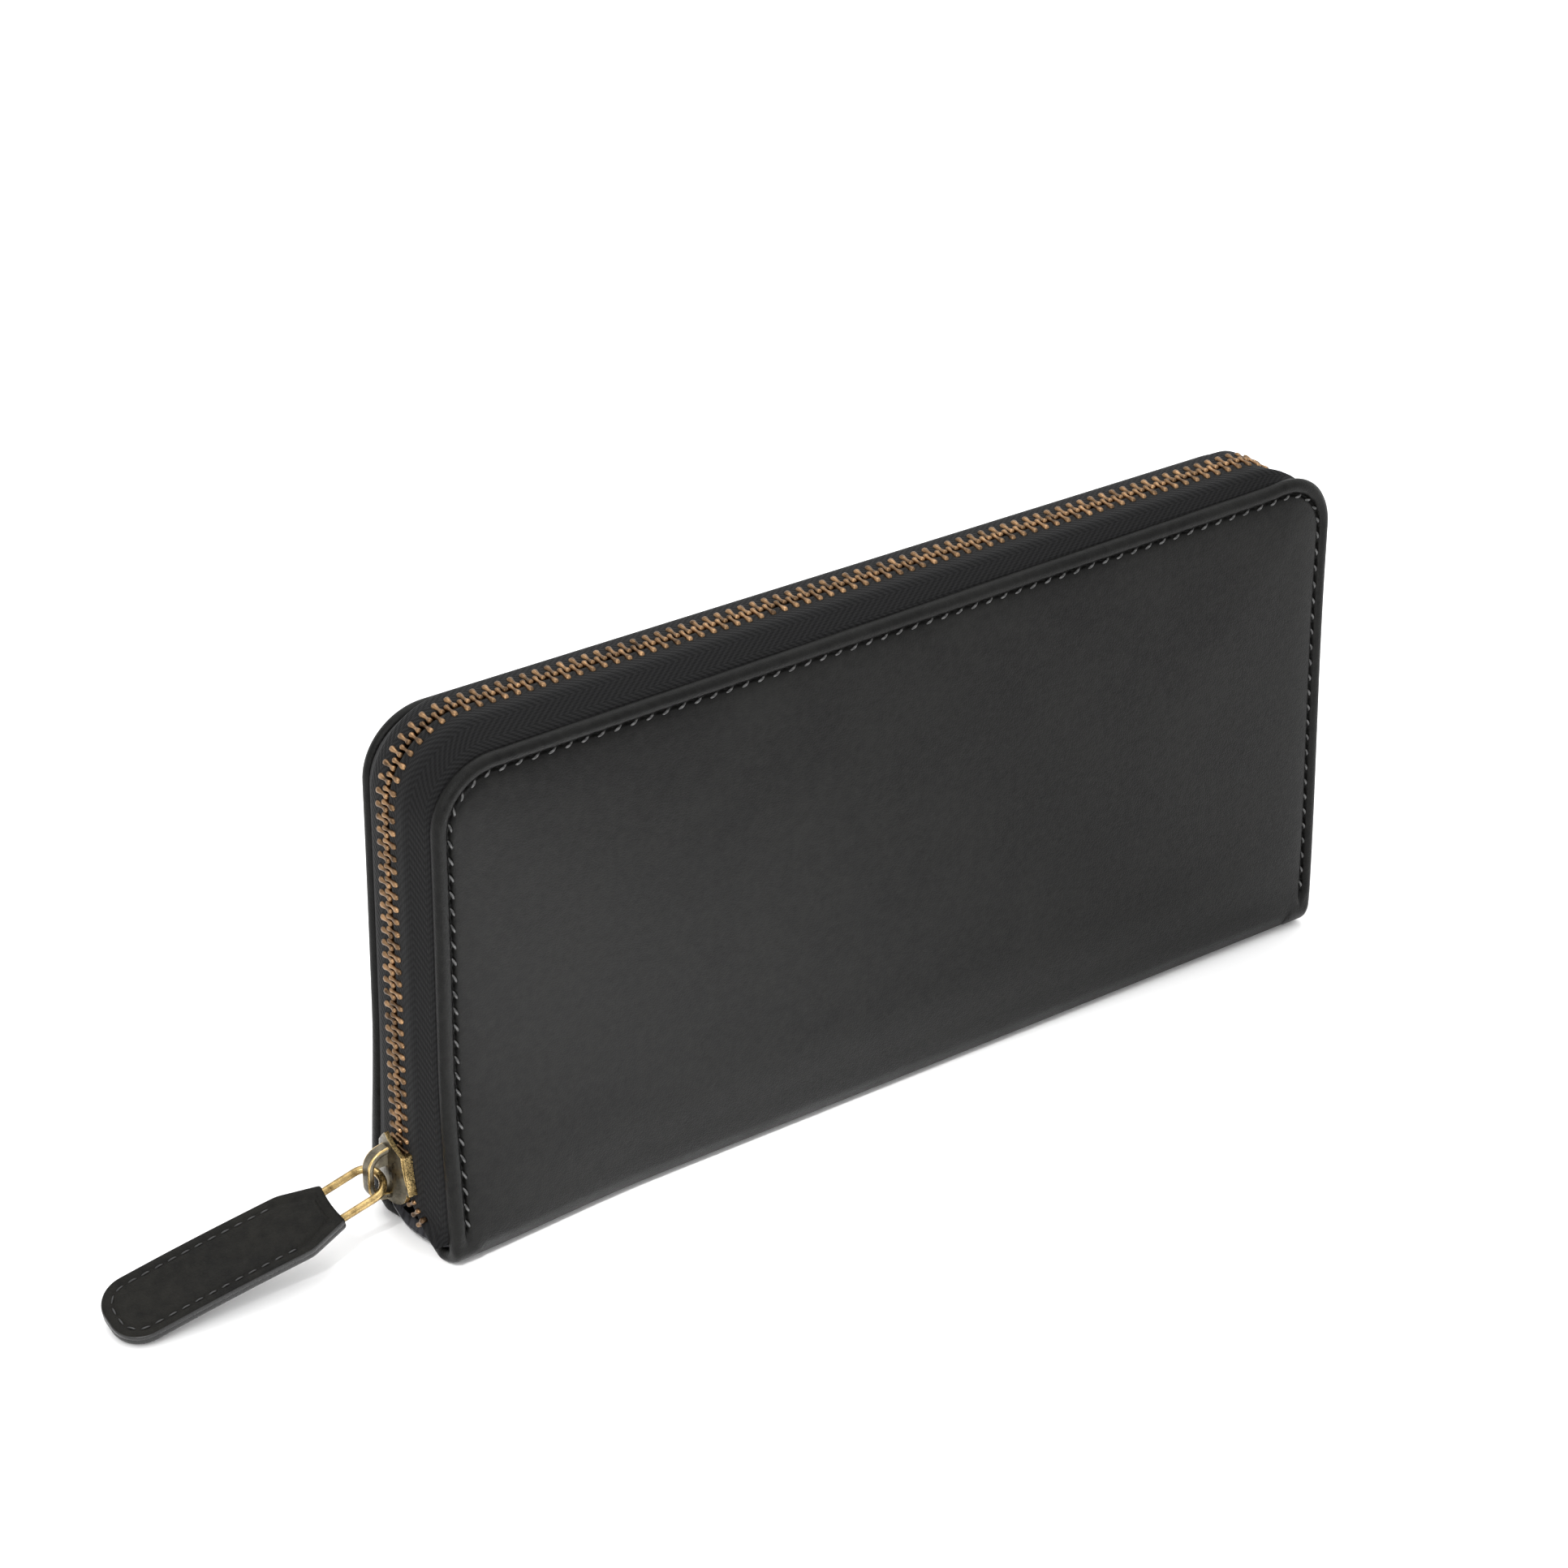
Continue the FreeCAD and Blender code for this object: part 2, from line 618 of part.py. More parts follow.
def make_bridge(face, low):
    """The arch on the slider's outer plate that holds the pull link."""
    gap = size("bridge_gap")
    thick = size("bridge_thick")
    width = size("bridge_width")
    height = "slider_length - 1.2"
    block = box("bridge_block", face - gap - thick, -width / 2, low, "bridge_gap + bridge_thick",
                "bridge_width", height)
    hole = box("bridge_hole", face - gap, -width, low + thick, "bridge_gap", "bridge_width * 2",
               height + " - bridge_thick * 2")

    def bend(edge):
        if edge.YLength < FIT or edge.XLength > FIT or edge.ZLength > FIT:
            return 0
        if edge.XMin < face - gap - FIT:
            return 3.2
        return 2.0 if edge.XMin < face - gap + FIT else 0

    keep(round_edges("bridge_rounded", boolean("Cut", "bridge_arch", block, hole), bend), "slider_bridge")


def pull_frame(origin, drop):
    """A frame whose X runs outwards along a pull piece and whose Y runs across it, to the front."""
    yaw = math.radians(size("pull_yaw"))
    fall = math.radians(drop)
    along = Vector(-math.cos(fall) * math.cos(yaw), math.cos(fall) * math.sin(yaw), -math.sin(fall))
    across = Vector(-math.sin(yaw), -math.cos(yaw), 0)
    level = Placement(origin, Rotation(along, across, along.cross(across), "XYZ"))
    return level.multiply(Placement(Vector(), Rotation(Vector(1, 0, 0), -size("pull_roll"))))


LINK_BEND = 1.6     # bend radius at the corners of the link, to the middle of the wire
BAR_SETBACK = 2.2   # from the near end of the pull tab to the link's far bar


def make_link(frame):
    """A wire bent to a rounded rectangle, from straight wires and quarter bends."""
    half = size("link_width") / 2
    bend = LINK_BEND
    length = size("link_length")
    parts = []
    for x in (0, length):
        across = at(x, bend - half, 0, Rotation(Vector(1, 0, 0), -90))
        parts.append(primitive("Cylinder", "link_bar", frame.multiply(across),
                               Radius="wire_radius", Height="link_width - %g" % (2 * bend)))
    for y in (-half, half):
        along = at(bend, y, 0, Rotation(Vector(0, 1, 0), 90))
        parts.append(primitive("Cylinder", "link_side", frame.multiply(along),
                               Radius="wire_radius", Height="link_length - %g" % (2 * bend)))
    for x, y, start in ((bend, half - bend, 90), (bend, bend - half, 180),
                        (length - bend, bend - half, 270), (length - bend, half - bend, 0)):
        corner = at(x, y, 0, Rotation(Vector(0, 0, 1), start))
        parts.append(primitive("Torus", "link_bend", frame.multiply(corner),
                               Radius1=bend, Radius2="wire_radius", Angle3=90))
    keep(fuse("link_solid", parts), "pull_link")


def make_tab(frame, bar):
    """Two leathers with a round groove between them that holds the link's far bar, along bar."""
    neck_half = size("tab_neck") / 2
    half = size("tab_width") / 2
    near = -BAR_SETBACK
    far = size("tab_length") - BAR_SETBACK
    shoulder = near + 7.8
    tongue = size("link_width") / 2 - LINK_BEND
    layer = size("tab_layer")
    outline = [Vector(near, -neck_half, 0), Vector(shoulder, -half, 0), Vector(far, -half, 0),
               Vector(far, half, 0), Vector(shoulder, half, 0), Vector(near, neck_half, 0)]
    for name, start in (("pull_tab_lower_leather", -layer), ("pull_tab_upper_leather", 0)):
        solid = Part.Face(Part.makePolygon(outline + outline[:1])).extrude(Vector(0, 0, layer))
        upright = [edge for edge in solid.Edges
                   if edge.BoundBox.ZLength > layer / 2 and edge.BoundBox.Center.x > far - 0.1]
        solid = solid.makeFillet(5.5, upright)
        solid.translate(Vector(0, 0, start))
        groove = Part.makeCylinder(size("wire_radius") + FIT, 20, bar * -10, bar)
        solid = solid.cut(groove)
        for y in (tongue, -tongue - 4):
            solid = solid.cut(Part.makeBox(4.4, 4, 4, Vector(near - 1, y, -2)))
        shape_piece(name, solid, frame)

    inset = 1.8
    seam = [Vector(shoulder + 2, -half + inset, 0), Vector(far - 3, -half + inset, 0),
            Vector(far - inset, -half + inset + 2, 0), Vector(far - inset, half - inset - 2, 0),
            Vector(far - 3, half - inset, 0), Vector(shoulder + 2, half - inset, 0),
            Vector(shoulder + 2, -half + inset, 0)]
    stitches = seam_stitches(Part.makePolygon(seam), Vector(0, 0, 1), layer)
    stitches += seam_stitches(Part.makePolygon(seam), Vector(0, 0, -1), layer)
    shape_piece("pull_tab_stitching", Part.makeCompound(stitches), frame)


def seam_stitches(wire, normal, height):
    """Short lengths of thread along a seam, lying on a face height above the seam's plane."""
    pitch = size("stitch_pitch")
    length = size("stitch_length")
    width = size("stitch_width")
    count = int(wire.Length / pitch)
    stitches = []
    for point, tangent in path_points(wire, [(index + 0.5) * wire.Length / count for index in range(count)]):
        block = Part.makeBox(length, width, size("stitch_height"), Vector(-length / 2, -width / 2, 0))
        across = normal.cross(tangent)
        block.Placement = Placement(point + normal * height, Rotation(tangent, across, normal, "XYZ"))
        stitches.append(block)
    return stitches


def make_cover_stitching(side):
    inset = size("stitch_inset")
    half = size("wallet_length") / 2 - inset
    low = size("hinge_height") + 2
    high = size("wallet_height") - inset
    corners = [Vector(-half, 0, low), Vector(-half, 0, high), Vector(half, 0, high), Vector(half, 0, low)]
    wire = rounded_path(corners, size("corner_radius") - inset)
    stitches = seam_stitches(wire, Vector(0, side, 0), 0)
    shape_piece(SIDE_NAMES[side] + "_stitching", Part.makeCompound(stitches), cover_frame(side))


# ---------------------------------------------------------------- assembly

make_spine()
make_coin_pocket()
make_coin_slider()
chain = chain_wire()
sections = chain_stations(chain)
for cover_side in (FRONT, BACK):
    make_cover(cover_side)
    make_cover_stitching(cover_side)
    make_tape(cover_side, sections)
    make_teeth(cover_side, chain)
    for wallet_end in (LEFT, RIGHT):
        make_gusset(cover_side, wallet_end)
make_bottom_stop()
near_bar = make_slider()
link_frame = pull_frame(near_bar, size("link_drop"))
make_link(link_frame)
far_bar = link_frame.multVec(Vector(size("link_length"), 0, 0))
bar_axis = link_frame.Rotation.multVec(Vector(0, 1, 0))
tab_frame = pull_frame(far_bar, size("tab_drop"))
make_tab(tab_frame, tab_frame.Rotation.inverted().multVec(bar_axis))
doc.recompute()
print("near bar %s, far bar %s, bar axis %s" % (tuple(near_bar), tuple(far_bar), tuple(bar_axis)))

for item in doc.Objects:
    if "Invalid" in item.State or "Error" in item.State:
        raise RuntimeError("%s failed: %s" % (item.Label, item.State))
for piece in pieces:
    if piece.Shape.isNull() or not piece.Shape.isValid():
        raise RuntimeError("%s has no valid shape" % piece.Label)

os.makedirs("parts", exist_ok=True)
for piece in pieces:
    piece.Shape.exportStep(os.path.join("parts", piece.Label + ".step"))
print(len(pieces), "parts")
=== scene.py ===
import json
import math

import bmesh
import bpy
import numpy as np
from mathutils import Matrix, Vector


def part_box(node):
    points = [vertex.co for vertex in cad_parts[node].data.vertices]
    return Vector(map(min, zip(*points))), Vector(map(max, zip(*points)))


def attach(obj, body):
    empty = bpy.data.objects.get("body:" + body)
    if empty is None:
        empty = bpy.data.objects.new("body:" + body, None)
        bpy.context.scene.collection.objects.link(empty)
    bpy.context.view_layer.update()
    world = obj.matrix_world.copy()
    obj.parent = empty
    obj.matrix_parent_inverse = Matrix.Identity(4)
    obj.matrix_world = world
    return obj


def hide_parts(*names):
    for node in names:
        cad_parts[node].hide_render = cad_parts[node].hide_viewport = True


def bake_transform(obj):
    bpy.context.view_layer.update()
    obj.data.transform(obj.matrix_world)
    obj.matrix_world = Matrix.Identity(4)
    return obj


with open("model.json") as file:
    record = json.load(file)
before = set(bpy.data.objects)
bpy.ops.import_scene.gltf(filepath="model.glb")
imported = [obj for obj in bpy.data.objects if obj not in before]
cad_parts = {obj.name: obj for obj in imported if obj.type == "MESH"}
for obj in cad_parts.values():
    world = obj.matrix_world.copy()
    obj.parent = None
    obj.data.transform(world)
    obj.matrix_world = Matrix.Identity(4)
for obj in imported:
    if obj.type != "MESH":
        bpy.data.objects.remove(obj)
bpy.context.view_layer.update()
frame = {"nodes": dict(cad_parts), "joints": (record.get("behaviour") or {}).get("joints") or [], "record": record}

# A long zip-around wallet of black leather, standing on its spine.
# Builders below work in millimetres and the meshes are made in metres.

MM = 0.001
FRONT, BACK = -1, 1
SIDE_NAMES = {FRONT: "front", BACK: "back"}

joints = {joint["name"]: joint for joint in frame["joints"]}


def joint_place(name):
    return np.array(joints[name]["pos_m"]) / MM


def node_box(name):
    """Lowest and highest corner of a CAD node in millimetres."""
    low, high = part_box(name)
    return np.array(low) / MM, np.array(high) / MM


hinge = joint_place("front_cover_hinge")
hinge_axis = joints["front_cover_hinge"]["axis"]
TAPER = hinge_axis[1] / hinge_axis[0]
HINGE_Z = hinge[2]
END = node_box("spine_leather")[1][0]           # half the wallet's length
TOP = node_box("front_outer_leather")[1][2]     # height of the covers
CORNER = 12.5           # top corners of the covers
SPINE_R = 4.2           # outer corners of the spine
LEATHER = 1.2
EDGE_DEPTH = 2.2        # thickness of the turned edge
FLAP = 6.0              # width of the turned-in flap
SEAM = 2.9              # from the edge to the seam


def half_thickness(x):
    return -hinge[1] - TAPER * x


# ---------------------------------------------------------------- mesh tools

def smoothstep(value, low, high):
    share = np.clip((value - low) / (high - low), 0, 1)
    return share * share * (3 - 2 * share)


def settle(points):
    """Points of the wallet moved a little, to the shape that use has given it.

    The back and the zip droop at the top right corner while the front corner turns up, the left
    end spreads where it stands, and both ends reach out a little towards the bottom."""
    x, y, z = points.T
    corner = smoothstep(x, 82, 99) * smoothstep(z, 70, 98)
    back, front = smoothstep(y, -7, -2), smoothstep(-y, 6, 9)
    on_wallet = smoothstep(x, -110, -102)
    spread_out = 2.3 * on_wallet * (1 - smoothstep(x, -99, -55)) * (1 - smoothstep(z, 2, 42))
    reach = np.where(x > 0, 1.5, 0.35) * on_wallet * smoothstep(abs(x), 60, 99)
    reach *= (1 - smoothstep(z, 5, 80)) * smoothstep(abs(y), 4, 8)
    return np.stack([x + np.sign(x) * reach - 2.0 * corner * back,
                     y + np.sign(y) * spread_out * np.minimum(1.0, abs(y) / 12.0) ** 2,
                     z + corner * (1.3 * front - 3.4 * back)], axis=1)


def new_piece(name, points, faces, materials, uv=None, smooth=True):
    """A mesh object from points in millimetres, with a pair of uv in millimetres for each point.

    The coin pocket is inside, so it keeps its shape."""
    mesh = bpy.data.meshes.new(name)
    shaped = np.array([tuple(point) for point in points], float)
    if not name.startswith("coin_"):
        shaped = settle(shaped)
    mesh.from_pydata((shaped * MM).tolist(), [], faces)
    if uv is not None:
        layer = mesh.uv_layers.new(name="UVMap")
        for loop in mesh.loops:
            u, v = uv[loop.vertex_index]
            layer.data[loop.index].uv = (u * MM, v * MM)
    for material in materials if isinstance(materials, list) else [materials]:
        mesh.materials.append(material)
    mesh.polygons.foreach_set("use_smooth", [smooth] * len(mesh.polygons))
    piece = bpy.data.objects.new(name, mesh)
    bpy.context.scene.collection.objects.link(piece)
    return piece


def fit(piece, slot, body, *replaced):
    """Hide the CAD nodes that a piece stands for and attach it to the body that carries it; the material slot is
    not used.
    """
    if replaced:
        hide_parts(*replaced)
    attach(piece, body)


def clean(piece, merge=True, close_holes=False):
    """Turn all faces outwards, after doubled points are merged and empty faces dropped."""
    work = bmesh.new()
    work.from_mesh(piece.data)
    if merge:
        bmesh.ops.remove_doubles(work, verts=work.verts, dist=2e-6)
        bmesh.ops.dissolve_degenerate(work, edges=work.edges, dist=1e-6)
    if close_holes:
        bmesh.ops.holes_fill(work, edges=[e for e in work.edges if e.is_boundary], sides=0)
    bmesh.ops.recalc_face_normals(work, faces=work.faces)
    work.to_mesh(piece.data)
    work.free()
    piece.data.update()
    return piece


def grid_faces(rows, columns, first=0, closed=False):
    """Quads between rows of points; closed joins the last column to the first."""
    faces = []
    for row in range(rows - 1):
        for column in range(columns if closed else columns - 1):
            after = (column + 1) % columns
            a, b = first + row * columns, first + (row + 1) * columns
            faces.append((a + column, a + after, b + after, b + column))
    return faces


def tube_faces(rows, columns, first=0):
    """Faces of a tube through closed rows of points, with flat caps."""
    last = first + (rows - 1) * columns
    caps = [tuple(range(first, first + columns)), tuple(reversed(range(last, last + columns)))]
    return grid_faces(rows, columns, first, closed=True) + caps


def rectangle(low_a, low_b, high_a, high_b):
    return [(low_a, low_b), (high_a, low_b), (high_a, high_b), (low_a, high_b)]


class Mesh:
    """Collects the points and faces of many small closed forms."""

    def __init__(self):
        self.points, self.faces, self.marks = [], [], []

    def loft(self, sections, mark=0, closed=False):
        """Skin over sections of equal length, with flat caps unless it is closed."""
        first, count, size = len(self.points), len(sections), len(sections[0])
        for section in sections:
            self.points.extend(section)
        if closed:
            last = first + (count - 1) * size
            faces = grid_faces(count, size, first, closed=True)
            for i in range(size):
                after = (i + 1) % size
                faces.append((last + i, last + after, first + after, first + i))
        else:
            faces = tube_faces(count, size, first)
        self.faces += faces
        self.marks += [mark] * len(faces)

    def stack(self, outlines):
        """Skin over flat outlines of x and y, each with its height."""
        self.loft([[(x, y, z) for x, y in outline] for outline, z in outlines])

    def prism(self, outline, low, high, axis=2, mark=0):
        """A block along an axis, whose outline holds the other two coordinates."""
        places = [np.array(place, float) for place in outline]
        self.loft([[np.insert(place, axis, end) for place in places] for end in (low, high)], mark)

    def piece(self, name, materials, smooth=True):
        made = new_piece(name, self.points, self.faces, materials, smooth=smooth)
        made.data.polygons.foreach_set("material_index", self.marks)
        return clean(made, merge=False)


def rounded(points, radii, closed=False, steps=8):
    """Points along a flat polyline whose corners are arcs, with steps per quarter turn."""
    points = [np.array(point, float) for point in points]
    count = len(points)
    path = [] if closed else [points[0]]
    for index in range(0 if closed else 1, count if closed else count - 1):
        before, corner, after = points[index - 1], points[index], points[(index + 1) % count]
        radius = radii[index] if isinstance(radii, list) else radii
        into = (corner - before) / np.linalg.norm(corner - before)
        out = (after - corner) / np.linalg.norm(after - corner)
        turn = math.acos(float(np.clip(into @ out, -1, 1)))
        if radius <= 0 or turn < 1e-4:
            path.append(corner)
            continue
        reach = radius * math.tan(turn / 2)
        inward = (out - into) / np.linalg.norm(out - into)
        centre = corner + inward * radius / math.cos(turn / 2)
        first, last = corner - into * reach - centre, corner + out * reach - centre
        pieces = max(2, math.ceil(steps * turn / (math.pi / 2)))
        for step in range(pieces + 1):
            share = step / pieces
            weight = math.sin((1 - share) * turn), math.sin(share * turn)
            path.append(centre + (first * weight[0] + last * weight[1]) / math.sin(turn))
    if not closed:
        path.append(points[-1])
    return np.array(path)


def lengths_along(line):
    """Distance from the start to each point of a polyline."""
    return np.concatenate([[0], np.cumsum(np.linalg.norm(np.diff(line, axis=0), axis=1))])


def normals_along(line):
    """Unit normals at the points of a flat polyline."""
    tangents = np.gradient(line, axis=0)
    tangents /= np.maximum(np.linalg.norm(tangents, axis=1), 1e-9)[:, None]
    return np.stack([-tangents[:, 1], tangents[:, 0]], axis=1)


class Path:
    """A flat polyline that gives the point and direction at a distance along it."""

    def __init__(self, points):
        self.points = np.array(points, float)
        self.lengths = lengths_along(self.points)
        self.total = float(self.lengths[-1])

    def point(self, distance):
        return np.array([np.interp(distance, self.lengths, column) for column in self.points.T])

    def at(self, distance):
        ahead = self.point(min(self.total, distance + 0.2)) - self.point(max(0, distance - 0.2))
        return self.point(distance), ahead / np.linalg.norm(ahead)


def ellipse(half_a, half_b, count, power=1.0):
    """A closed section; a power below 1 squares it up."""
    section = []
    for index in range(count):
        angle = 2 * math.pi * (index + 0.5) / count
        a, b = (math.copysign(abs(part) ** power, part) for part in (math.cos(angle), math.sin(angle)))
        section.append((half_a * a, half_b * b))
    return section


def sweep(mesh, path, normal, section, closed=False):
    """Sweep a section along a flat 3-D path whose plane has this normal."""
    path = np.array(path, float)
    normal = np.array(normal, float)
    count = len(path)
    sections = []
    for index, point in enumerate(path):
        before = path[index - 1] if closed or index else point
        after = path[(index + 1) % count] if closed or index < count - 1 else point
        along = (after - before) / np.linalg.norm(after - before)
        across = np.cross(normal, along)
        sections.append([point + across * a + normal * b for a, b in section])
    mesh.loft(sections, closed=closed)


# ---------------------------------------------------------------- materials

def shader(name, **sockets):
    material = bpy.data.materials.new(name)
    material.use_nodes = True
    surface = material.node_tree.nodes["Principled BSDF"]
    for key, value in sockets.items():
        surface.inputs[key.replace("_", " ")].default_value = value
    return material


def add(material, kind, inputs=None, **settings):
    """A node, with its settings and its inputs: a socket is linked, a number is set."""
    node = material.node_tree.nodes.new("ShaderNode" + kind)
    for key, value in settings.items():
        setattr(node, key, value)
    for key, value in (inputs or {}).items():
        if isinstance(value, bpy.types.NodeSocket):
            material.node_tree.links.new(value, node.inputs[key])
        else:
            node.inputs[key].default_value = value
    return node


def plug(material, socket, key):
    surface = material.node_tree.nodes["Principled BSDF"]
    material.node_tree.links.new(socket, surface.inputs[key])


def place_of(material, output="Object"):
    return add(material, "TexCoord").outputs[output]


def noise(material, place, scale, detail=3.0, roughness=0.5):
    inputs = {"Vector": place, "Scale": scale, "Detail": detail, "Roughness": roughness}
    return add(material, "TexNoise", inputs).outputs["Fac"]


def spread(material, value, low, high, from_low=0.3, from_high=0.7):
    """Stretch a value from one range to another."""
    inputs = {"Value": value, "From Min": from_low, "From Max": from_high, "To Min": low, "To Max": high}
    return add(material, "MapRange", inputs).outputs["Result"]


def blend_colours(material, share, dark, light):
    inputs = {0: share, 6: (*dark, 1.0), 7: (*light, 1.0)}
    return add(material, "Mix", inputs, data_type="RGBA").outputs[2]


def maths(material, operation, first, second=0.0, third=0.5):
    return add(material, "Math", {0: first, 1: second, 2: third}, operation=operation).outputs[0]


def bump(material, height, distance, strength=1.0, normal=None):
    inputs = {"Height": height, "Distance": distance, "Strength": strength}
    if normal is not None:
        inputs["Normal"] = normal
    return add(material, "Bump", inputs).outputs["Normal"]


def leather(name, dark, light, roughness, grain, depth, gloss):
    """Smooth dyed leather: fine cells of grain, soft clouds in its gloss and its colour."""
    material = shader(name, Specular_IOR_Level=gloss)
    place = place_of(material)
    clouds = noise(material, place, 60.0, 6.0, 0.62)
    mottle = noise(material, place, grain * 0.35, 4.0, 0.65)
    cells = add(material, "TexVoronoi", {"Vector": place, "Scale": grain}, feature="DISTANCE_TO_EDGE")
    cells = spread(material, cells.outputs["Distance"], 0.0, 1.0, 0.0, 0.18)
    share = maths(material, "MULTIPLY_ADD", mottle, 0.5, maths(material, "MULTIPLY", clouds, 0.5))
    share = spread(material, share, 0.0, 1.0, 0.38, 0.62)
    plug(material, blend_colours(material, share, dark, light), "Base Color")
    plug(material, spread(material, clouds, roughness - 0.06, roughness + 0.08), "Roughness")
    soft = bump(material, mottle, depth * 2.2, 0.6)
    plug(material, bump(material, cells, depth, 0.5, soft), "Normal")
    return material


def woven(name, dark, light, pitch, depth):
    """A plain weave of two crossed sets of threads."""
    material = shader(name, Roughness=0.8, Sheen_Weight=0.25, Sheen_Roughness=0.4, Specular_IOR_Level=0.3)
    place = place_of(material)
    turned = add(material, "Mapping", {"Vector": place, "Rotation": (0.6, 0.5, math.pi / 4)}).outputs[0]
    heights = []
    for direction in ("X", "Z"):
        inputs = {"Vector": turned, "Scale": 1 / (pitch * 6.3), "Distortion": 0.6, "Detail": 1.0}
        heights.append(add(material, "TexWave", inputs, bands_direction=direction).outputs["Fac"])
    height = maths(material, "MAXIMUM", *heights)
    share = maths(material, "MULTIPLY", height, spread(material, noise(material, place, 90.0), 0.6, 1.0))
    plug(material, blend_colours(material, share, dark, light), "Base Color")
    plug(material, bump(material, height, depth, 0.7), "Normal")
    return material


def herringbone(name, dark, light):
    """Zip tape: twill ribs that lean one way and then the other, across the tape's width."""
    band, rib, yarn = 3.1 * MM, 1.4 * MM, 0.45 * MM
    material = shader(name, Roughness=0.85, Sheen_Weight=0.03, Sheen_Roughness=0.5, Specular_IOR_Level=0.12)
    split = add(material, "SeparateXYZ", {0: place_of(material, "UV")})
    along, across = split.outputs["X"], split.outputs["Y"]
    phase = maths(material, "MULTIPLY_ADD", maths(material, "PINGPONG", across, band), 1.35, along)
    ribs = maths(material, "SINE", maths(material, "MULTIPLY", phase, 2 * math.pi / rib))
    threads = maths(material, "SINE", maths(material, "MULTIPLY", across, 2 * math.pi / yarn))
    height = maths(material, "MULTIPLY_ADD", ribs, 0.28, maths(material, "MULTIPLY", threads, 0.12))
    fuzz = maths(material, "MULTIPLY", noise(material, place_of(material), 2600.0, 2.0), 0.35)
    level = maths(material, "ADD", maths(material, "ADD", height, 0.5), fuzz)
    plug(material, blend_colours(material, level, dark, light), "Base Color")
    plug(material, bump(material, level, 0.00016, 0.8), "Normal")
    return material


def metal(name, dark, light, roughness, worn=0.5):
    """Antique brass: bare warm metal with a darker patina that lies in patches."""
    material = shader(name, Metallic=1.0, Specular_IOR_Level=0.5)
    place = place_of(material)
    patches = noise(material, place, 420.0, 4.0, 0.6)
    fine = noise(material, place, 2600.0, 2.0)
    share = spread(material, patches, 0.0, 1.0, worn - 0.18, worn + 0.18)
    plug(material, blend_colours(material, share, dark, light), "Base Color")
    plug(material, spread(material, fine, roughness - 0.08, roughness + 0.1), "Roughness")
    plug(material, bump(material, fine, 0.00002, 0.5), "Normal")
    return material


def grainy(name, dark, light, scale):
    """Foam, board and other plain stuff inside."""
    material = shader(name, Roughness=0.85, Specular_IOR_Level=0.3)
    place = place_of(material)
    grain = noise(material, place, scale, 4.0)
    plug(material, blend_colours(material, grain, dark, light), "Base Color")
    plug(material, bump(material, grain, 0.0001, 0.4), "Normal")
    return material


def twisted(name, dark, light):
    """Waxed thread, with its twist as slanted bands."""
    material = shader(name, Roughness=0.34, Specular_IOR_Level=0.6)
    place = place_of(material)
    wave = add(material, "TexWave", {"Vector": place, "Scale": 420.0, "Distortion": 1.0, "Detail": 1.0},
               bands_direction="DIAGONAL").outputs["Fac"]
    plug(material, blend_colours(material, wave, dark, light), "Base Color")
    plug(material, bump(material, wave, 0.00008, 0.6), "Normal")
    return material


def grey(level):
    return (level, level, level)


def painted_edge(name):
    """Edge paint: thick glossy black, slightly uneven."""
    material = shader(name, Specular_IOR_Level=0.4, Coat_Weight=0.15, Coat_Roughness=0.12)
    place = place_of(material)
    uneven = noise(material, place, 700.0, 3.0)
    plug(material, blend_colours(material, uneven, grey(0.006), grey(0.014)), "Base Color")
    plug(material, spread(material, uneven, 0.18, 0.36), "Roughness")
    plug(material, bump(material, uneven, 0.00018, 0.6), "Normal")
    return material


BLACK = leather("black_satin_leather", (0.0006, 0.0006, 0.0005), (0.0056, 0.0056, 0.0051),
                roughness=0.37, grain=1900.0, depth=0.00004, gloss=0.13)
TAB = leather("tab_waxed_leather", (0.0016, 0.0015, 0.0011), (0.0085, 0.0080, 0.0064),
              roughness=0.48, grain=1300.0, depth=0.00006, gloss=0.10)
PANEL = leather("panel_thin_leather", grey(0.008), grey(0.017),
                roughness=0.52, grain=1500.0, depth=0.00004, gloss=0.105)
TAPE = herringbone("zip_herringbone_tape", (0.0015, 0.0015, 0.0016), (0.0105, 0.0105, 0.0108))
LINING = woven("lining_weave", (0.010, 0.010, 0.012), (0.040, 0.040, 0.046), 0.45 * MM, 0.00008)
TAB_THREAD = twisted("dark_waxed_thread", grey(0.001), grey(0.006))
THREAD = twisted("waxed_thread", (0.008, 0.008, 0.008), (0.055, 0.055, 0.054))
TEETH = metal("teeth_antique_brass", (0.055, 0.034, 0.020), (0.330, 0.200, 0.105), 0.36, 0.50)
BRASS = metal("bright_antique_brass", (0.120, 0.080, 0.032), (0.460, 0.330, 0.145), 0.28, 0.45)
WORN_EDGE = metal("worn_brass_edge", (0.260, 0.180, 0.075), (0.620, 0.450, 0.200), 0.25, 0.42)
DARK_BRASS = metal("dark_antique_brass", (0.060, 0.054, 0.042), (0.210, 0.185, 0.135), 0.34, 0.5)
COIN_BRASS = metal("coin_zip_brass", (0.200, 0.130, 0.055), (0.560, 0.400, 0.190), 0.33, 0.45)
FOAM = grainy("padding_foam", (0.18, 0.18, 0.19), (0.30, 0.30, 0.31), 1500.0)
BOARD = grainy("stiffener_fibre_board", (0.20, 0.17, 0.13), (0.36, 0.32, 0.25), 900.0)
PAINT = painted_edge("black_edge_paint")


# ---------------------------------------------------------------- cover leather

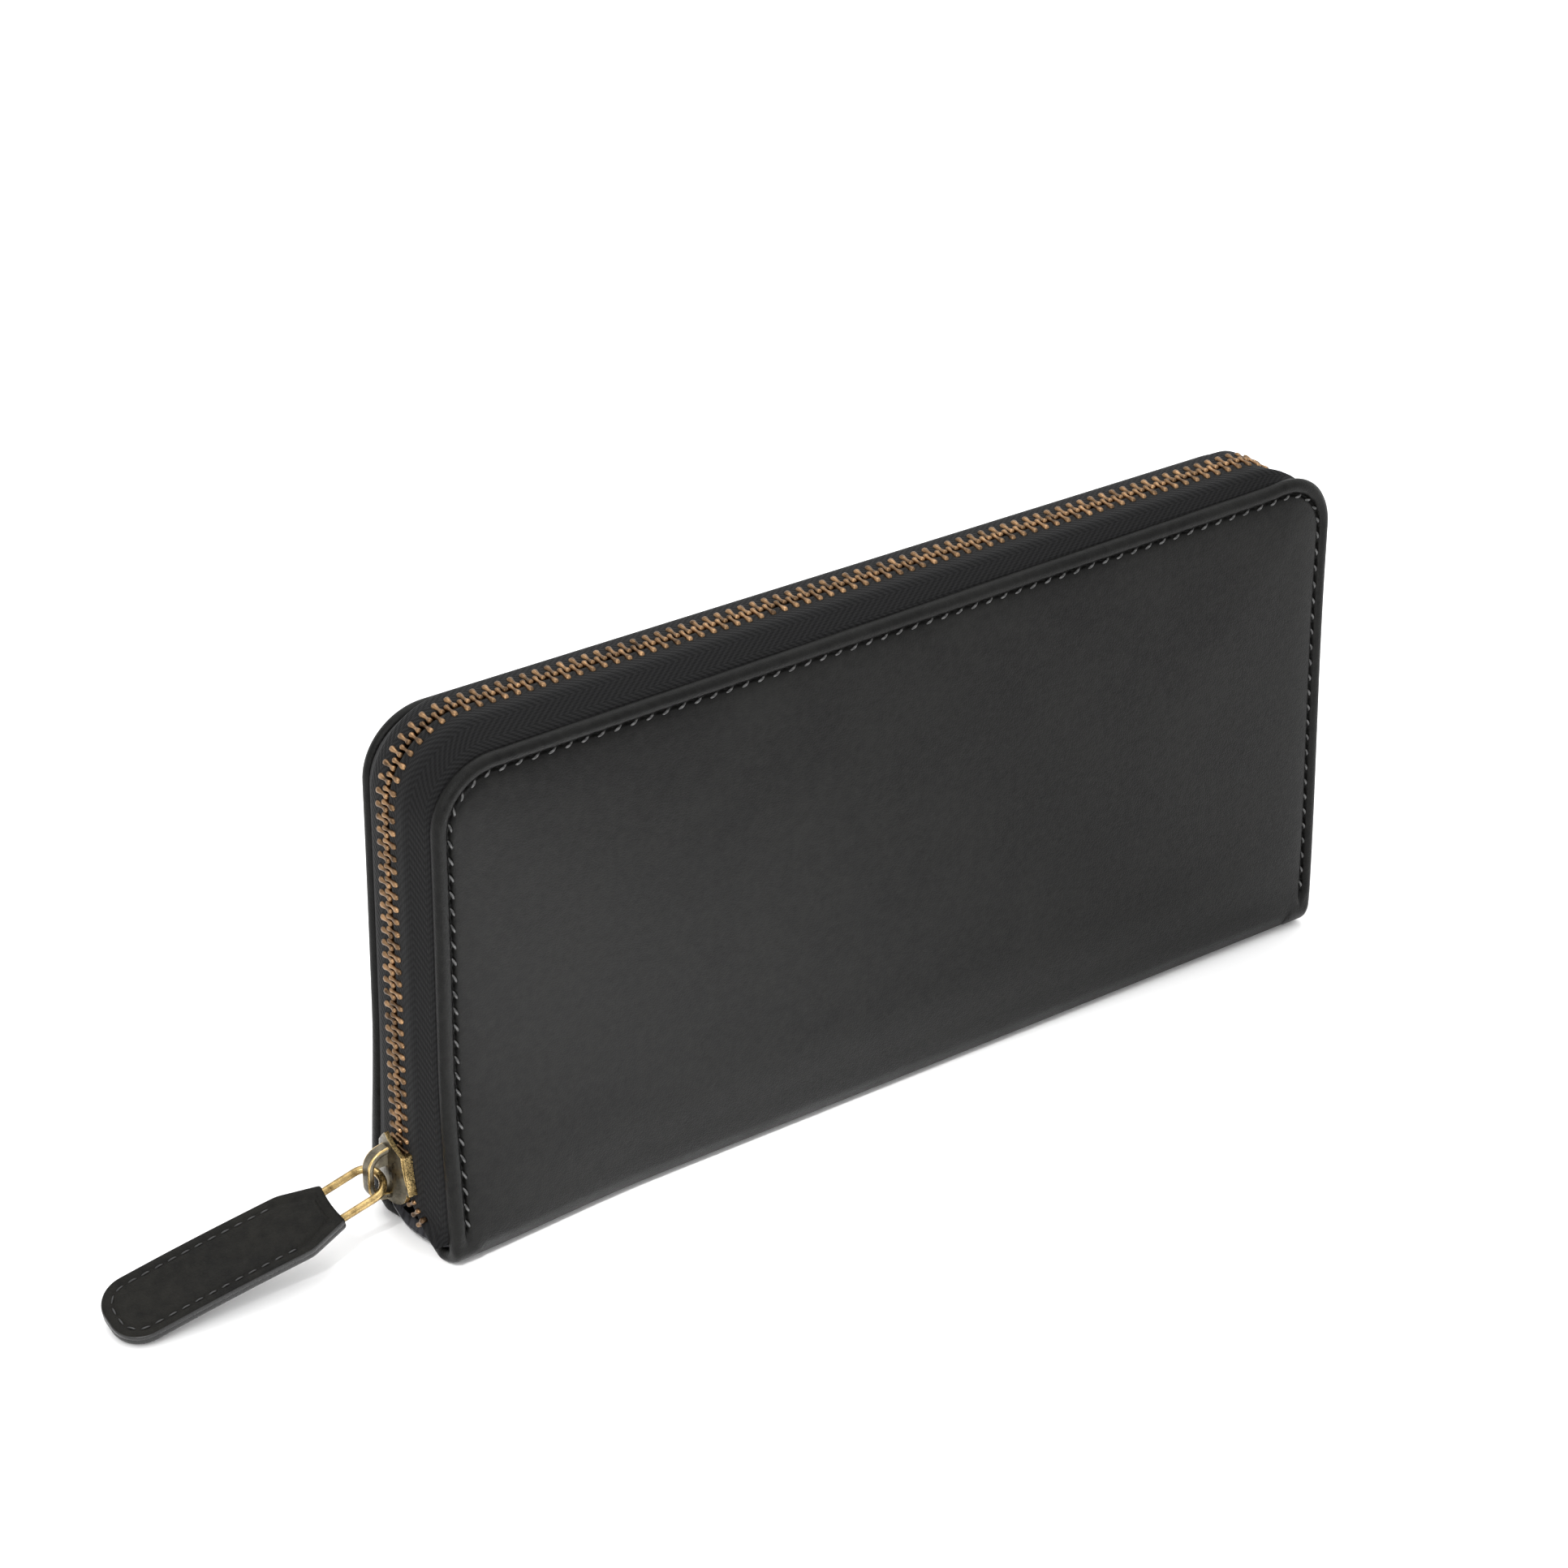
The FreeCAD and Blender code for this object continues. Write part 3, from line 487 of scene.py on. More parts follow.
ARC_LOW = SPINE_R * (1 - math.pi / 2)     # height, along the leather, where the spine's flat bottom starts
BOTTOM_RUN = 6.0
W_LOW = ARC_LOW - BOTTOM_RUN
SEAM_LOW = HINGE_Z + 2
FINE = 6                                  # fine steps per stitch
SIDE_STITCHES, CORNER_STITCHES, TOP_STITCHES = 29, 5, 52
INNER_X, INNER_W = END - CORNER, TOP - CORNER


def wrap(side, x, w, depth):
    """A point of the leather: w is its height, and runs on round the spine's corner to the middle below."""
    half = half_thickness(x)
    if w >= SPINE_R:
        y, z = half - depth, w
    elif w >= ARC_LOW:
        angle = (SPINE_R - w) / SPINE_R
        y = half - SPINE_R + (SPINE_R - depth) * math.cos(angle)
        z = SPINE_R - (SPINE_R - depth) * math.sin(angle)
    else:
        y = (half - SPINE_R) * (1 - (ARC_LOW - w) / BOTTOM_RUN)
        z = depth
    return x, side * y, z


def border(x, w):
    """Distance from the leather's edge, at the two ends and along the top."""
    along, above = abs(x) - INNER_X, w - INNER_W
    if along > 0 and above > 0:
        return CORNER - math.hypot(along, above)
    return CORNER - max(along, above)


def relief(x, w, near_hole=0.0):
    """How far the leather stands out: a rolled border, the seam's valley and the padded panel."""
    d = border(x, w)
    inside = max(0.0, d - SEAM)
    sewn = float(smoothstep(w, SEAM_LOW - 3.5, SEAM_LOW + 0.5))
    free = float(smoothstep(w, 0.5, 20.0))
    rolled = 0.40 * math.sin(math.pi * min(1.0, d / SEAM)) * sewn
    valley = 0.50 * math.exp(-((d - SEAM) / 0.42) ** 2) * sewn
    hole = 0.45 * near_hole * math.exp(-((d - SEAM + 0.1) / 0.32) ** 2)
    padding = 0.55 * (1 - math.exp(-inside / 1.6)) + 1.5 * (1 - math.exp(-inside / 20))
    return rolled - valley - hole + padding * free


def end_rounding(x, w):
    """The ends are drawn in where the covers turn under, and bow outwards below the spine."""
    recess = 0.6 * float(1 - smoothstep(w, -2.0, 6.0)) - 1.6 * float(1 - smoothstep(w, W_LOW - 2.0, 3.5))
    return x - math.copysign(recess * max(0.0, abs(x) - INNER_X) / CORNER, x)


def outline_stations():
    """Points round the inner rectangle with their outward direction, fine steps of a stitch."""
    turning = CORNER_STITCHES * FINE
    angles = [math.pi / 2 * step / turning for step in range(turning)]
    upward = np.linspace(W_LOW, INNER_W, SIDE_STITCHES * FINE + 1)[:-1]
    across = np.linspace(-INNER_X, INNER_X, TOP_STITCHES * FINE + 1)[:-1]
    downward = np.linspace(INNER_W, W_LOW, SIDE_STITCHES * FINE + 1)
    return ([(-INNER_X, w, -1.0, 0.0) for w in upward]
            + [(-INNER_X, INNER_W, -math.cos(angle), math.sin(angle)) for angle in angles]
            + [(x, INNER_W, 0.0, 1.0) for x in across]
            + [(INNER_X, INNER_W, math.sin(angle), math.cos(angle)) for angle in angles]
            + [(INNER_X, w, 1.0, 0.0) for w in downward])


STATIONS = outline_stations()


def off_edge(index, distance):
    """The place on the leather at a station and a distance from the edge."""
    x, w, out_x, out_w = STATIONS[index]
    reach = CORNER - distance
    return x + out_x * reach, w + out_w * reach


def make_cover_leather(side):
    """One leather over a cover and half of the spine: panel, seam, rolled border and turned-in flap."""
    points, faces = [], []

    def point(x, w, depth):
        points.append(wrap(side, end_rounding(x, w), w, depth))
        return len(points) - 1

    def ring(distance, depth_of, step):
        made = []
        for index in range(0, len(STATIONS), step):
            x, w = off_edge(index, distance)
            made.append(point(x, w, depth_of(x, w, index)))
        return made

    def hole_at(index):
        """1 at a stitch hole of the seam, fading to 0 between holes."""
        phase = (index + FINE // 2) % FINE - FINE // 2
        return math.exp(-(phase / 0.75) ** 2)

    def outer(x, w, index):
        sewn = w > SEAM_LOW
        return -relief(x, w, hole_at(index) if sewn else 0.0)

    def fixed(depth):
        return lambda x, w, index: depth

    radius = EDGE_DEPTH / 2
    rings = [(ring(distance, fixed(depth), FINE), FINE) for distance, depth in
             ((CORNER, LEATHER), (FLAP + 0.3, LEATHER), (FLAP, LEATHER + 0.1), (FLAP, EDGE_DEPTH - 0.15),
              (FLAP - 0.2, EDGE_DEPTH), (SEAM + 0.6, EDGE_DEPTH))]
    arc_steps = 8
    for step in range(arc_steps + 1):
        angle = math.pi * (0.5 - step / arc_steps)
        distance = radius * (1 - math.cos(angle))
        depth = radius * (1 + math.sin(angle))
        share = float(smoothstep(-angle, 0, math.pi / 2))

        def turned(x, w, index, depth=depth, share=share):
            return depth + share * outer(x, w, index)

        rings.append((ring(distance, turned, 1), 1))
    for distance in (1.4, 1.75, 2.1, 2.4, 2.6, 2.75, 2.9, 3.05, 3.2, 3.45, 3.8, 4.4, 5.2):
        rings.append((ring(distance, outer, 1), 1))
    for distance in (6.6, 8.4, 10.4, CORNER):
        rings.append((ring(distance, outer, FINE), FINE))

    for (first, first_step), (second, second_step) in zip(rings, rings[1:]):
        if first_step == second_step:
            faces += [(first[i], first[i + 1], second[i + 1], second[i]) for i in range(len(first) - 1)]
            continue
        coarse, fine = (first, second) if first_step > second_step else (second, first)
        for i in range(len(coarse) - 1):
            fan = fine[i * FINE:(i + 1) * FINE + 1]
            faces.append((coarse[i], coarse[i + 1], *reversed(fan)))

    across = np.linspace(-INNER_X, INNER_X, TOP_STITCHES + 1)
    upward = np.linspace(W_LOW, INNER_W, SIDE_STITCHES + 1)
    for depth_of in (lambda x, w: -relief(x, w), lambda x, w: LEATHER):
        first = len(points)
        for w in upward:
            for x in across:
                point(x, w, depth_of(x, w))
        faces += grid_faces(len(upward), len(across), first)

    name = SIDE_NAMES[side]
    piece = clean(new_piece(name + "_cover_leather", points, faces, BLACK), close_holes=True)
    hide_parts(name + "_outer_leather", name + "_turned_edge", "spine_leather")
    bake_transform(piece)


def seam_place(side, index, distance, lift):
    """A point beside the seam at a fine station, lift above the leather."""
    x, w = off_edge(index, distance)
    return np.array(wrap(side, end_rounding(x, w), w, -relief(x, w) - lift))


def capsule(mesh, start, end, normal, radius, rise):
    """A short thread from start to end that bows away from the leather."""
    start, end, normal = np.array(start), np.array(end), np.array(normal, float)
    along = (end - start) / np.linalg.norm(end - start)
    across = np.cross(normal, along)
    sections = []
    for step in range(7):
        share = step / 6
        arch = math.sin(math.pi * share)
        thick = radius * (0.45 + 0.55 * arch ** 0.5)
        centre = start + (end - start) * share + normal * rise * (arch - 0.35)
        sections.append([centre + across * a + normal * b for a, b in ellipse(thick, thick * 0.8, 8)])
    mesh.loft(sections)


def make_seam(side):
    """The slanted stitches of a cover's seam, from hole to hole."""
    mesh = Mesh()
    for index in range(0, len(STATIONS) - FINE, FINE):
        if STATIONS[index][1] < SEAM_LOW or STATIONS[index + FINE][1] < SEAM_LOW:
            continue
        start = seam_place(side, index + 1, SEAM + 0.50, 0.06)
        end = seam_place(side, index + FINE - 2, SEAM - 0.18, 0.16)
        capsule(mesh, start, end, (0, side, 0), 0.27, 0.22)
    name = SIDE_NAMES[side]
    piece = mesh.piece(name + "_seam_thread", THREAD)
    fit(piece, "thread", name + "_cover", name + "_stitching")


# ---------------------------------------------------------------- main zip

CHAIN_SIDE, CHAIN_TOP = 1.8, 3.8          # how far the teeth stand out of the covers
CHAIN_DROP, CHAIN_RADIUS = 2.0, 15.0      # lower right corner, and the turn of both corners
slider_low, slider_high = node_box("zip_slider_body")
SLIDER_Z = slider_low[2]
MOUTH_Z = SLIDER_Z + 3.5
CHAIN_LEFT = -END - CHAIN_SIDE
CHAIN_RIGHT = END + CHAIN_SIDE - CHAIN_DROP
CHAIN_END_Z = 6.5
PITCH = 2.5             # between the teeth of one row
TAPE_EDGE, TAPE_THICK = 0.85, 0.5

chain = Path(rounded([(CHAIN_LEFT, MOUTH_Z), (CHAIN_LEFT, TOP + CHAIN_TOP),
                      (CHAIN_RIGHT, TOP + CHAIN_TOP - CHAIN_DROP), (CHAIN_RIGHT, CHAIN_END_Z)],
                     CHAIN_RADIUS, steps=40))


def free_edge(share):
    """Where a row's tape edge runs below the slider's mouth: sideways distance and height."""
    start, control, end = (TAPE_EDGE, MOUTH_Z), (1.7, SLIDER_Z - 1.2), (9.6, 4.6)
    weights = (1 - share) ** 2, 2 * share * (1 - share), share ** 2
    return tuple(sum(w * p[k] for w, p in zip(weights, (start, control, end))) for k in (0, 1))


def tape_profile(x, z, half, edge):
    """Middle line of a tape section: sideways place and offset from the chain, out of the wallet."""
    tuck = -border(x, z) + 0.7
    cover = half - EDGE_DEPTH - TAPE_THICK / 2 - 0.04
    flat = min(5.1, cover - 1.6)
    if edge > flat:
        flat = edge + 0.3
    line = [(min(edge, cover - 0.05), 0.0),
            (min(max(edge + 0.1, flat - 0.9), cover - 0.04), 0.0),
            (min(max(edge + 0.2, flat + 0.2), cover - 0.03), -0.12)]
    last = line[-1][0]
    for share in (0.25, 0.5, 0.75):
        sag = 0.22 * math.sin(math.pi * share)
        line.append((last + (cover - last) * share, -0.12 - (tuck - 0.12) * share - sag))
    line += [(cover, -tuck), (cover, -tuck - 0.6), (cover, -tuck - 2.5), (cover, -tuck - 4.9)]
    return line


def soften(line):
    """Cut a polyline's corners, keeping its ends."""
    line = [np.array(point, float) for point in line]
    cut = [line[0]]
    for a, b in zip(line, line[1:]):
        cut += [a * 0.75 + b * 0.25, a * 0.25 + b * 0.75]
    return np.array(cut + [line[-1]])


def make_tape(side):
    """A woven tape that rises from the cover to the teeth, with its free edge below the slider."""
    stations = []
    steps = 26
    for step in range(steps, 0, -1):
        edge, z = free_edge(step / steps)
        stations.append((np.array([CHAIN_LEFT, z]), np.array([0.0, 1.0]), edge))
    for distance in np.linspace(0, chain.total, round(chain.total / 1.3)):
        point, along = chain.at(distance)
        stations.append((point, along, TAPE_EDGE))
    points, uv = [], []
    travelled = 0.0
    previous = stations[0][0]
    for place, along, edge in stations:
        travelled += float(np.linalg.norm(place - previous))
        previous = place
        out = np.array([-along[1], along[0]])
        half = half_thickness(place[0])
        line = soften(tape_profile(place[0], place[1], half, edge))
        line_points = list(zip(line, normals_along(line), lengths_along(line)))
        for sign in (1, -1):
            lift = TAPE_THICK / 2 * sign
            for (y, offset), (ny, noff), width in line_points[::sign]:
                spot = place + out * (offset + noff * lift)
                points.append((spot[0], side * (y + ny * lift), spot[1]))
                uv.append((travelled, width + edge))
    name = SIDE_NAMES[side]
    faces = tube_faces(len(stations), len(points) // len(stations))
    piece = clean(new_piece(name + "_woven_tape", points, faces, TAPE, uv), merge=False)
    fit(piece, "zip_tape_fabric", name + "_cover", name + "_zip_tape")


def tooth(mesh, centre, along, head, out, scale=1.0):
    """One tooth, from its round heel over a waist to the head that meshes with the other row."""
    shape = ((-2.92, 0.18, 0.30), (-2.86, 0.38, 0.60), (-2.60, 0.54, 0.82), (-2.20, 0.58, 0.90),
             (-1.60, 0.44, 0.80), (-1.00, 0.32, 0.70), (-0.45, 0.34, 0.74), (0.05, 0.52, 0.90),
             (0.42, 0.56, 0.92), (0.66, 0.44, 0.78), (0.76, 0.22, 0.46))
    sections = []
    for reach, half_long, half_deep in shape:
        middle = centre + head * reach * scale
        section = ellipse(half_long * scale, half_deep * scale, 10, 0.72)
        sections.append([middle + along * a + out * b for a, b in section])
    mesh.loft(sections)


def make_teeth(side):
    mesh = Mesh()
    start = 1.2 + (PITCH / 2 if side == BACK else 0)
    count = int((chain.total - start - 5) / PITCH)
    head = np.array([0.0, -side, 0.0])
    for index in range(count):
        point, along = chain.at(start + index * PITCH)
        forward = np.array([along[0], 0.0, along[1]])
        out = np.array([-along[1], 0.0, along[0]])
        tooth(mesh, np.array([point[0], 0.0, point[1]]), forward, head, out)
    for share in (0.44, 0.58, 0.71):
        (y0, z0), (y1, z1) = free_edge(share - 0.02), free_edge(share + 0.02)
        y, z = free_edge(share)
        forward = np.array([0.0, side * (y1 - y0), z1 - z0])
        forward /= np.linalg.norm(forward)
        inward = np.array([0.0, -side * abs(forward[2]), -abs(forward[1])])
        edge = np.array([CHAIN_LEFT, side * y, z])
        tooth(mesh, edge + inward * TAPE_EDGE * 0.9, forward, inward, np.array([-1.0, 0.0, 0.0]), 0.85)
    name = SIDE_NAMES[side]
    piece = mesh.piece(name + "_brass_teeth", TEETH)
    fit(piece, "antique_brass", name + "_cover", name + "_zip_teeth")


# ---------------------------------------------------------------- hardware

def bevel(piece, width, segments=3, edge_material=0, angle=35):
    """Round off the edges of a hard part; the rounded strips can take another material."""
    modifier = piece.modifiers.new("bevel", "BEVEL")
    modifier.width = width * MM
    modifier.segments = segments
    modifier.limit_method = "ANGLE"
    modifier.angle_limit = math.radians(angle)
    modifier.harden_normals = True
    if edge_material:
        modifier.material = edge_material
    return piece


SLIDER_PLATE, SLIDER_BOW, SLIDER_OUT = 0.85, 1.5, 1.1


def slider_half(z):
    """Half the width of the slider's plates above its lower end: wide at the mouth, an arrow at the top."""
    heights = (0.0, 0.25, 0.9, 2.0, 4.0, 6.0, 8.0, 10.2, 10.6, 11.8, 13.2, 13.9)
    halves = (2.4, 3.2, 3.9, 4.3, 4.4, 4.1, 3.8, 3.6, 3.2, 2.1, 0.8, 0.15)
    return float(np.interp(z, heights, halves))


def bow(y):
    """How far a plate of the slider curves back towards the tape beside its middle."""
    return SLIDER_BOW * (y / 4.6) ** 2


def make_slider():
    """The zip slider: bowed plates with an arrow-shaped top, flanges round the rows and the divider."""
    low, high = slider_low, slider_high
    mesh = Mesh()
    levels = (0.0, 0.25, 0.9, 2.0, 3.0, 4.0, 5.0, 6.0, 7.0, 8.0, 9.2, 10.2, 10.6, 11.8, 13.2, 13.9)
    shares = np.linspace(-1, 1, 11)
    for face, sign in ((low[0] - SLIDER_OUT, 1), (high[0], -1)):
        sections = []
        for z in levels:
            row = [share * slider_half(z) for share in shares]
            outer = [(face + sign * bow(y), y, low[2] + z) for y in row]
            inner = [(x + sign * SLIDER_PLATE, y, height) for x, y, height in reversed(outer)]
            sections.append(outer + inner)
        mesh.loft(sections)
    middle, gap = CHAIN_LEFT, 0.36
    near_plate = low[0] - SLIDER_OUT + bow(4.0) + 0.2
    for side in (FRONT, BACK):
        for near, far in ((near_plate, middle - gap), (middle + gap, high[0] - 0.4)):
            outlines = []
            for z in (2.8, 3.0, 3.6, 5.0, 6.5, 8.0, 10.2):
                flare = 0.55 * float(1 - smoothstep(z, 2.8, 4.2))
                outer_y, inner_y = slider_half(z) + 0.30 + flare, slider_half(z) - 0.80 + flare * 0.5
                outlines.append((rectangle(near, side * outer_y, far, side * inner_y), low[2] + z))
            mesh.stack(outlines)
    mesh.stack([(rectangle(low[0] + 0.6, -half, high[0] - 0.6, half), low[2] + z)
                for z, half in ((0.1, 0.5), (0.6, 0.7), (2.4, 0.35), (2.7, 0.2))])
    piece = mesh.piece("slider_body", [DARK_BRASS, WORN_EDGE], smooth=False)
    for face in piece.data.polygons:
        if abs(face.normal[0]) < 0.4:
            face.material_index = 1
    bevel(piece, 0.24, 3, edge_material=1, angle=38)
    fit(piece, "antique_brass", "zip_slider", "zip_slider_body")


def make_bridge():
    """The arched strip on the slider that carries the pull link."""
    low, high = node_box("slider_bridge")
    thick, width = 1.25, 2.4
    outer = low[0] + thick / 2
    foot_low, foot_high = low[2] + thick / 2, high[2] - thick / 2
    inside = high[0] - SLIDER_OUT + 0.5
    line = rounded([(inside, foot_low), (outer, foot_low + 0.5), (outer, foot_high - 0.9),
                    (inside, foot_high)], [0, 2.7, 3.1, 0], steps=10)
    path = [(x, 0.0, z) for x, z in line]
    mesh = Mesh()
    section = rounded(rectangle(-thick / 2, -width / 2, thick / 2, width / 2), 0.38, closed=True, steps=4)
    sweep(mesh, path, (0, 1, 0), section)
    web = rounded([(inside, foot_high), (outer + 1.6, foot_high - 0.6), (outer + 0.7, foot_high - 2.6),
                   (outer + 1.7, foot_high - 3.3), (inside, foot_high - 3.3)],
                  [0, 1.4, 0.8, 0.6, 0], closed=True, steps=5)
    mesh.prism(web, -0.75, 0.75, axis=1, mark=1)
    piece = mesh.piece("slider_bridge_arch", [WORN_EDGE, DARK_BRASS])
    corner = 0.36
    for face in piece.data.polygons:
        across = abs(face.center[1]) / MM
        if across < width / 2 - corner or across > width / 2 - 0.02:
            face.material_index = 1
    bevel(piece, 0.1, 2, angle=50)
    fit(piece, "antique_brass", "zip_slider", "slider_bridge")


NEAR_BAR = joint_place("pull_link_swing")
FAR_BAR = joint_place("pull_tab_swing")
YAW = math.atan2(FAR_BAR[1] - NEAR_BAR[1], NEAR_BAR[0] - FAR_BAR[0])
ROLL = math.radians(14.0)       # the whole pull leans, its front side down
TAB_DROP = math.radians(13.0)


def pull_axes(fall):
    """Directions along a pull piece, across it and up from it, at a fall below level."""
    along = np.array([-math.cos(fall) * math.cos(YAW), math.cos(fall) * math.sin(YAW), -math.sin(fall)])
    level = np.array([-math.sin(YAW), -math.cos(YAW), 0.0])
    across = level * math.cos(ROLL) - np.cross(along, level) * math.sin(ROLL)
    return along, across, np.cross(along, across)


def make_link():
    """The wire loop between the slider's bridge and the leather tab."""
    span = FAR_BAR - NEAR_BAR
    length = float(np.linalg.norm(span))
    along, across, up = pull_axes(math.asin(-span[2] / length))
    half, wire, near = 3.5, 0.74, -0.9
    loop = rounded(rectangle(near, -half, length, half), [3.3, 1.5, 1.5, 3.3], closed=True, steps=10)
    path = [NEAR_BAR + along * a + across * b for a, b in loop]
    mesh = Mesh()
    sweep(mesh, path, up, ellipse(wire, wire, 14), closed=True)
    piece = mesh.piece("pull_wire_link", BRASS)
    fit(piece, "antique_brass", "pull_link", "pull_link")


TAB_LENGTH, TAB_HALF, TAB_NECK, TAB_LAYER = 44.5, 7.1, 4.7, 1.15
TAB_NEAR = -2.2
TAB_SHOULDER = TAB_NEAR + 7.8
TAB_FAR = TAB_NEAR + TAB_LENGTH
TAB_SEAM = 1.9


def tab_outline(inset):
    """Outline of the tab, drawn in by inset, always with the same number of points."""
    neck, half = TAB_NECK - inset, TAB_HALF - inset
    near, far = TAB_NEAR + inset, TAB_FAR - inset
    tip, corner = max(0.25, 0.9 - inset), 5.9 - inset
    corners = [(near, -neck), (TAB_SHOULDER, -half), (far, -half),
               (far, half), (TAB_SHOULDER, half), (near, neck)]
    line = rounded(corners, [tip, 6.0, corner, corner, 6.0, tip], closed=True, steps=14)
    dense = []
    for start, end in zip(line, np.roll(line, -1, axis=0)):
        long_run = abs(end[0] - start[0]) > 3 or abs(end[1] - start[1]) > 1.5
        pieces = 30 if long_run else 1
        dense += [start + (end - start) * step / pieces for step in range(pieces)]
    return np.array(dense)


def tab_sag(x):
    """How far the tab's middle bows upwards."""
    return 0.35 * math.sin(math.pi * float(np.clip((x - 6.0) / 36.0, 0, 1)))


def make_tab():
    """Two leathers folded round the link's bar, glued, sewn and painted along their edges."""
    along, across, up = pull_axes(TAB_DROP)
    points, marks = [], []
    count = len(tab_outline(0.0))

    def height(distance):
        crown = 0.08 * (1 - math.exp(-distance / 2.5))
        valley = 0.26 * math.exp(-((distance - TAB_SEAM) / 0.4) ** 2)
        return TAB_LAYER - 0.08 + crown - valley

    face = height(0.5)
    top = [(inset, height(inset)) for inset in (3.4, 2.9, 2.5, 2.2, 1.9, 1.6, 1.3, 0.9, 0.5)]
    edge = ((0.22, 0.95), (0.06, 0.83), (0.0, 0.62), (0.0, 0.34), (0.05, 0.12), (0.16, 0.02))
    top += [(inset, face * share) for inset, share in edge]
    rings = top + [(inset, -level) for inset, level in reversed(top)]
    for inset, level in rings:
        for x, y in tab_outline(inset):
            dip = 0.45 * max(0.0, 1 - (y / TAB_NECK) ** 2)
            dip *= float(1 - smoothstep(x, TAB_NEAR + 0.5, TAB_NEAR + 4.0))
            points.append(FAR_BAR + along * (x + dip) + across * y + up * (level + tab_sag(x)))
    faces = grid_faces(len(rings), count, closed=True)
    for first, second in zip(rings, rings[1:]):
        painted = max(first[0], second[0]) < 0.5
        marks += [1 if painted else 0] * count
    for row in (0, len(rings) - 1):
        ring = list(range(row * count, (row + 1) * count))
        half_ring = len(ring) // 2
        for i in range(half_ring - 1):
            faces.append((ring[i], ring[i + 1], ring[-2 - i], ring[-1 - i]))
            marks.append(0)
    piece = new_piece("pull_tab_leather", points, faces, [TAB, PAINT])
    piece.data.polygons.foreach_set("material_index", marks)
    clean(piece)
    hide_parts("pull_tab_upper_leather", "pull_tab_lower_leather")
    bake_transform(piece)
    return height


def make_tab_thread(height):
    """The tab's seam: small stitches round it and across it beside the shoulder, on both faces."""
    along, across, up = pull_axes(TAB_DROP)
    line = tab_outline(TAB_SEAM)
    line = line[line[:, 0] > TAB_SHOULDER + 1.6]
    order = np.argsort(np.arctan2(line[:, 1], line[:, 0] - (TAB_SHOULDER + 1.6)))
    low_end, high_end = ((TAB_SHOULDER + 1.8, sign * (TAB_HALF - TAB_SEAM)) for sign in (-1, 1))
    seam = Path([low_end, *line[order], high_end, low_end])
    stitches = round(seam.total / 2.6)
    mesh = Mesh()
    for sign in (1, -1):
        for index in range(stitches):
            middle = (index + 0.5) * seam.total / stitches
            ends = []
            for step in (-0.85, 0.85):
                (a, b), _ = seam.at(middle + step)
                lift = sign * (height(TAB_SEAM) + 0.05) + tab_sag(a)
                ends.append(FAR_BAR + along * a + across * b + up * lift)
            capsule(mesh, ends[0], ends[1], up * sign, 0.2, 0.1)
    piece = mesh.piece("pull_tab_thread", TAB_THREAD)
    fit(piece, "thread", "pull_tab", "pull_tab_stitching")


# ---------------------------------------------------------------- inside

def thin_sheet(name, material, place, half_length, low, top, radius=0.0, band=0.0):
    """A standing sheet with rounded top corners; place gives the point at x, z and 0 or 1 through it.

    A band along the top edge is where the material is turned over."""
    levels = list(np.linspace(low, top - radius, 16))
    if radius:
        levels += [top - radius + radius * math.sin(angle) for angle in np.linspace(0, math.pi / 2, 9)[1:]]
    if band:
        levels += [top - band - 0.3, top - band, top - 0.3]
    mesh = Mesh()
    sections = []
    for z in sorted(levels):
        past = max(0.0, z - (top - radius))
        reach = half_length - (radius - math.sqrt(max(0.0, radius ** 2 - past ** 2)))
        row = np.linspace(-reach, reach, 41)
        sections.append([place(x, z, 0) for x in row] + [place(x, z, 1) for x in reversed(row)])
    mesh.loft(sections)
    return bevel(mesh.piece(name, material), 0.1, 2, angle=50)


COVER_INSIDE, LINING_THICK = 2.2, 0.5     # the lining's outer face, in from the cover's
SLOTS_INSIDE = COVER_INSIDE + LINING_THICK
PANEL_HALF = 91.0
SLOT_LOW, SLOT_TOPS, SLOT_THICK = 9.0, (82.0, 74.0, 66.0, 58.0), 0.4
COLUMN_BULGE = 0.28


def column_bulge(x, z):
    """The card slots swell a little between their middle seam and their end seams."""
    across = math.sin(math.pi * min(1.0, abs(x) / PANEL_HALF)) ** 0.5
    return COLUMN_BULGE * across * float(smoothstep(z, SLOT_LOW, SLOT_LOW + 8))


def make_cover_lining(side):
    name = SIDE_NAMES[side]

    def place(x, z, through):
        return x, side * (half_thickness(x) - COVER_INSIDE - LINING_THICK * through), z

    piece = thin_sheet(name + "_cover_lining", LINING, place, 92.8, SLOT_LOW, 93.8, radius=6.4)
    fit(piece, "lining_fabric", name + "_cover", name + "_lining")


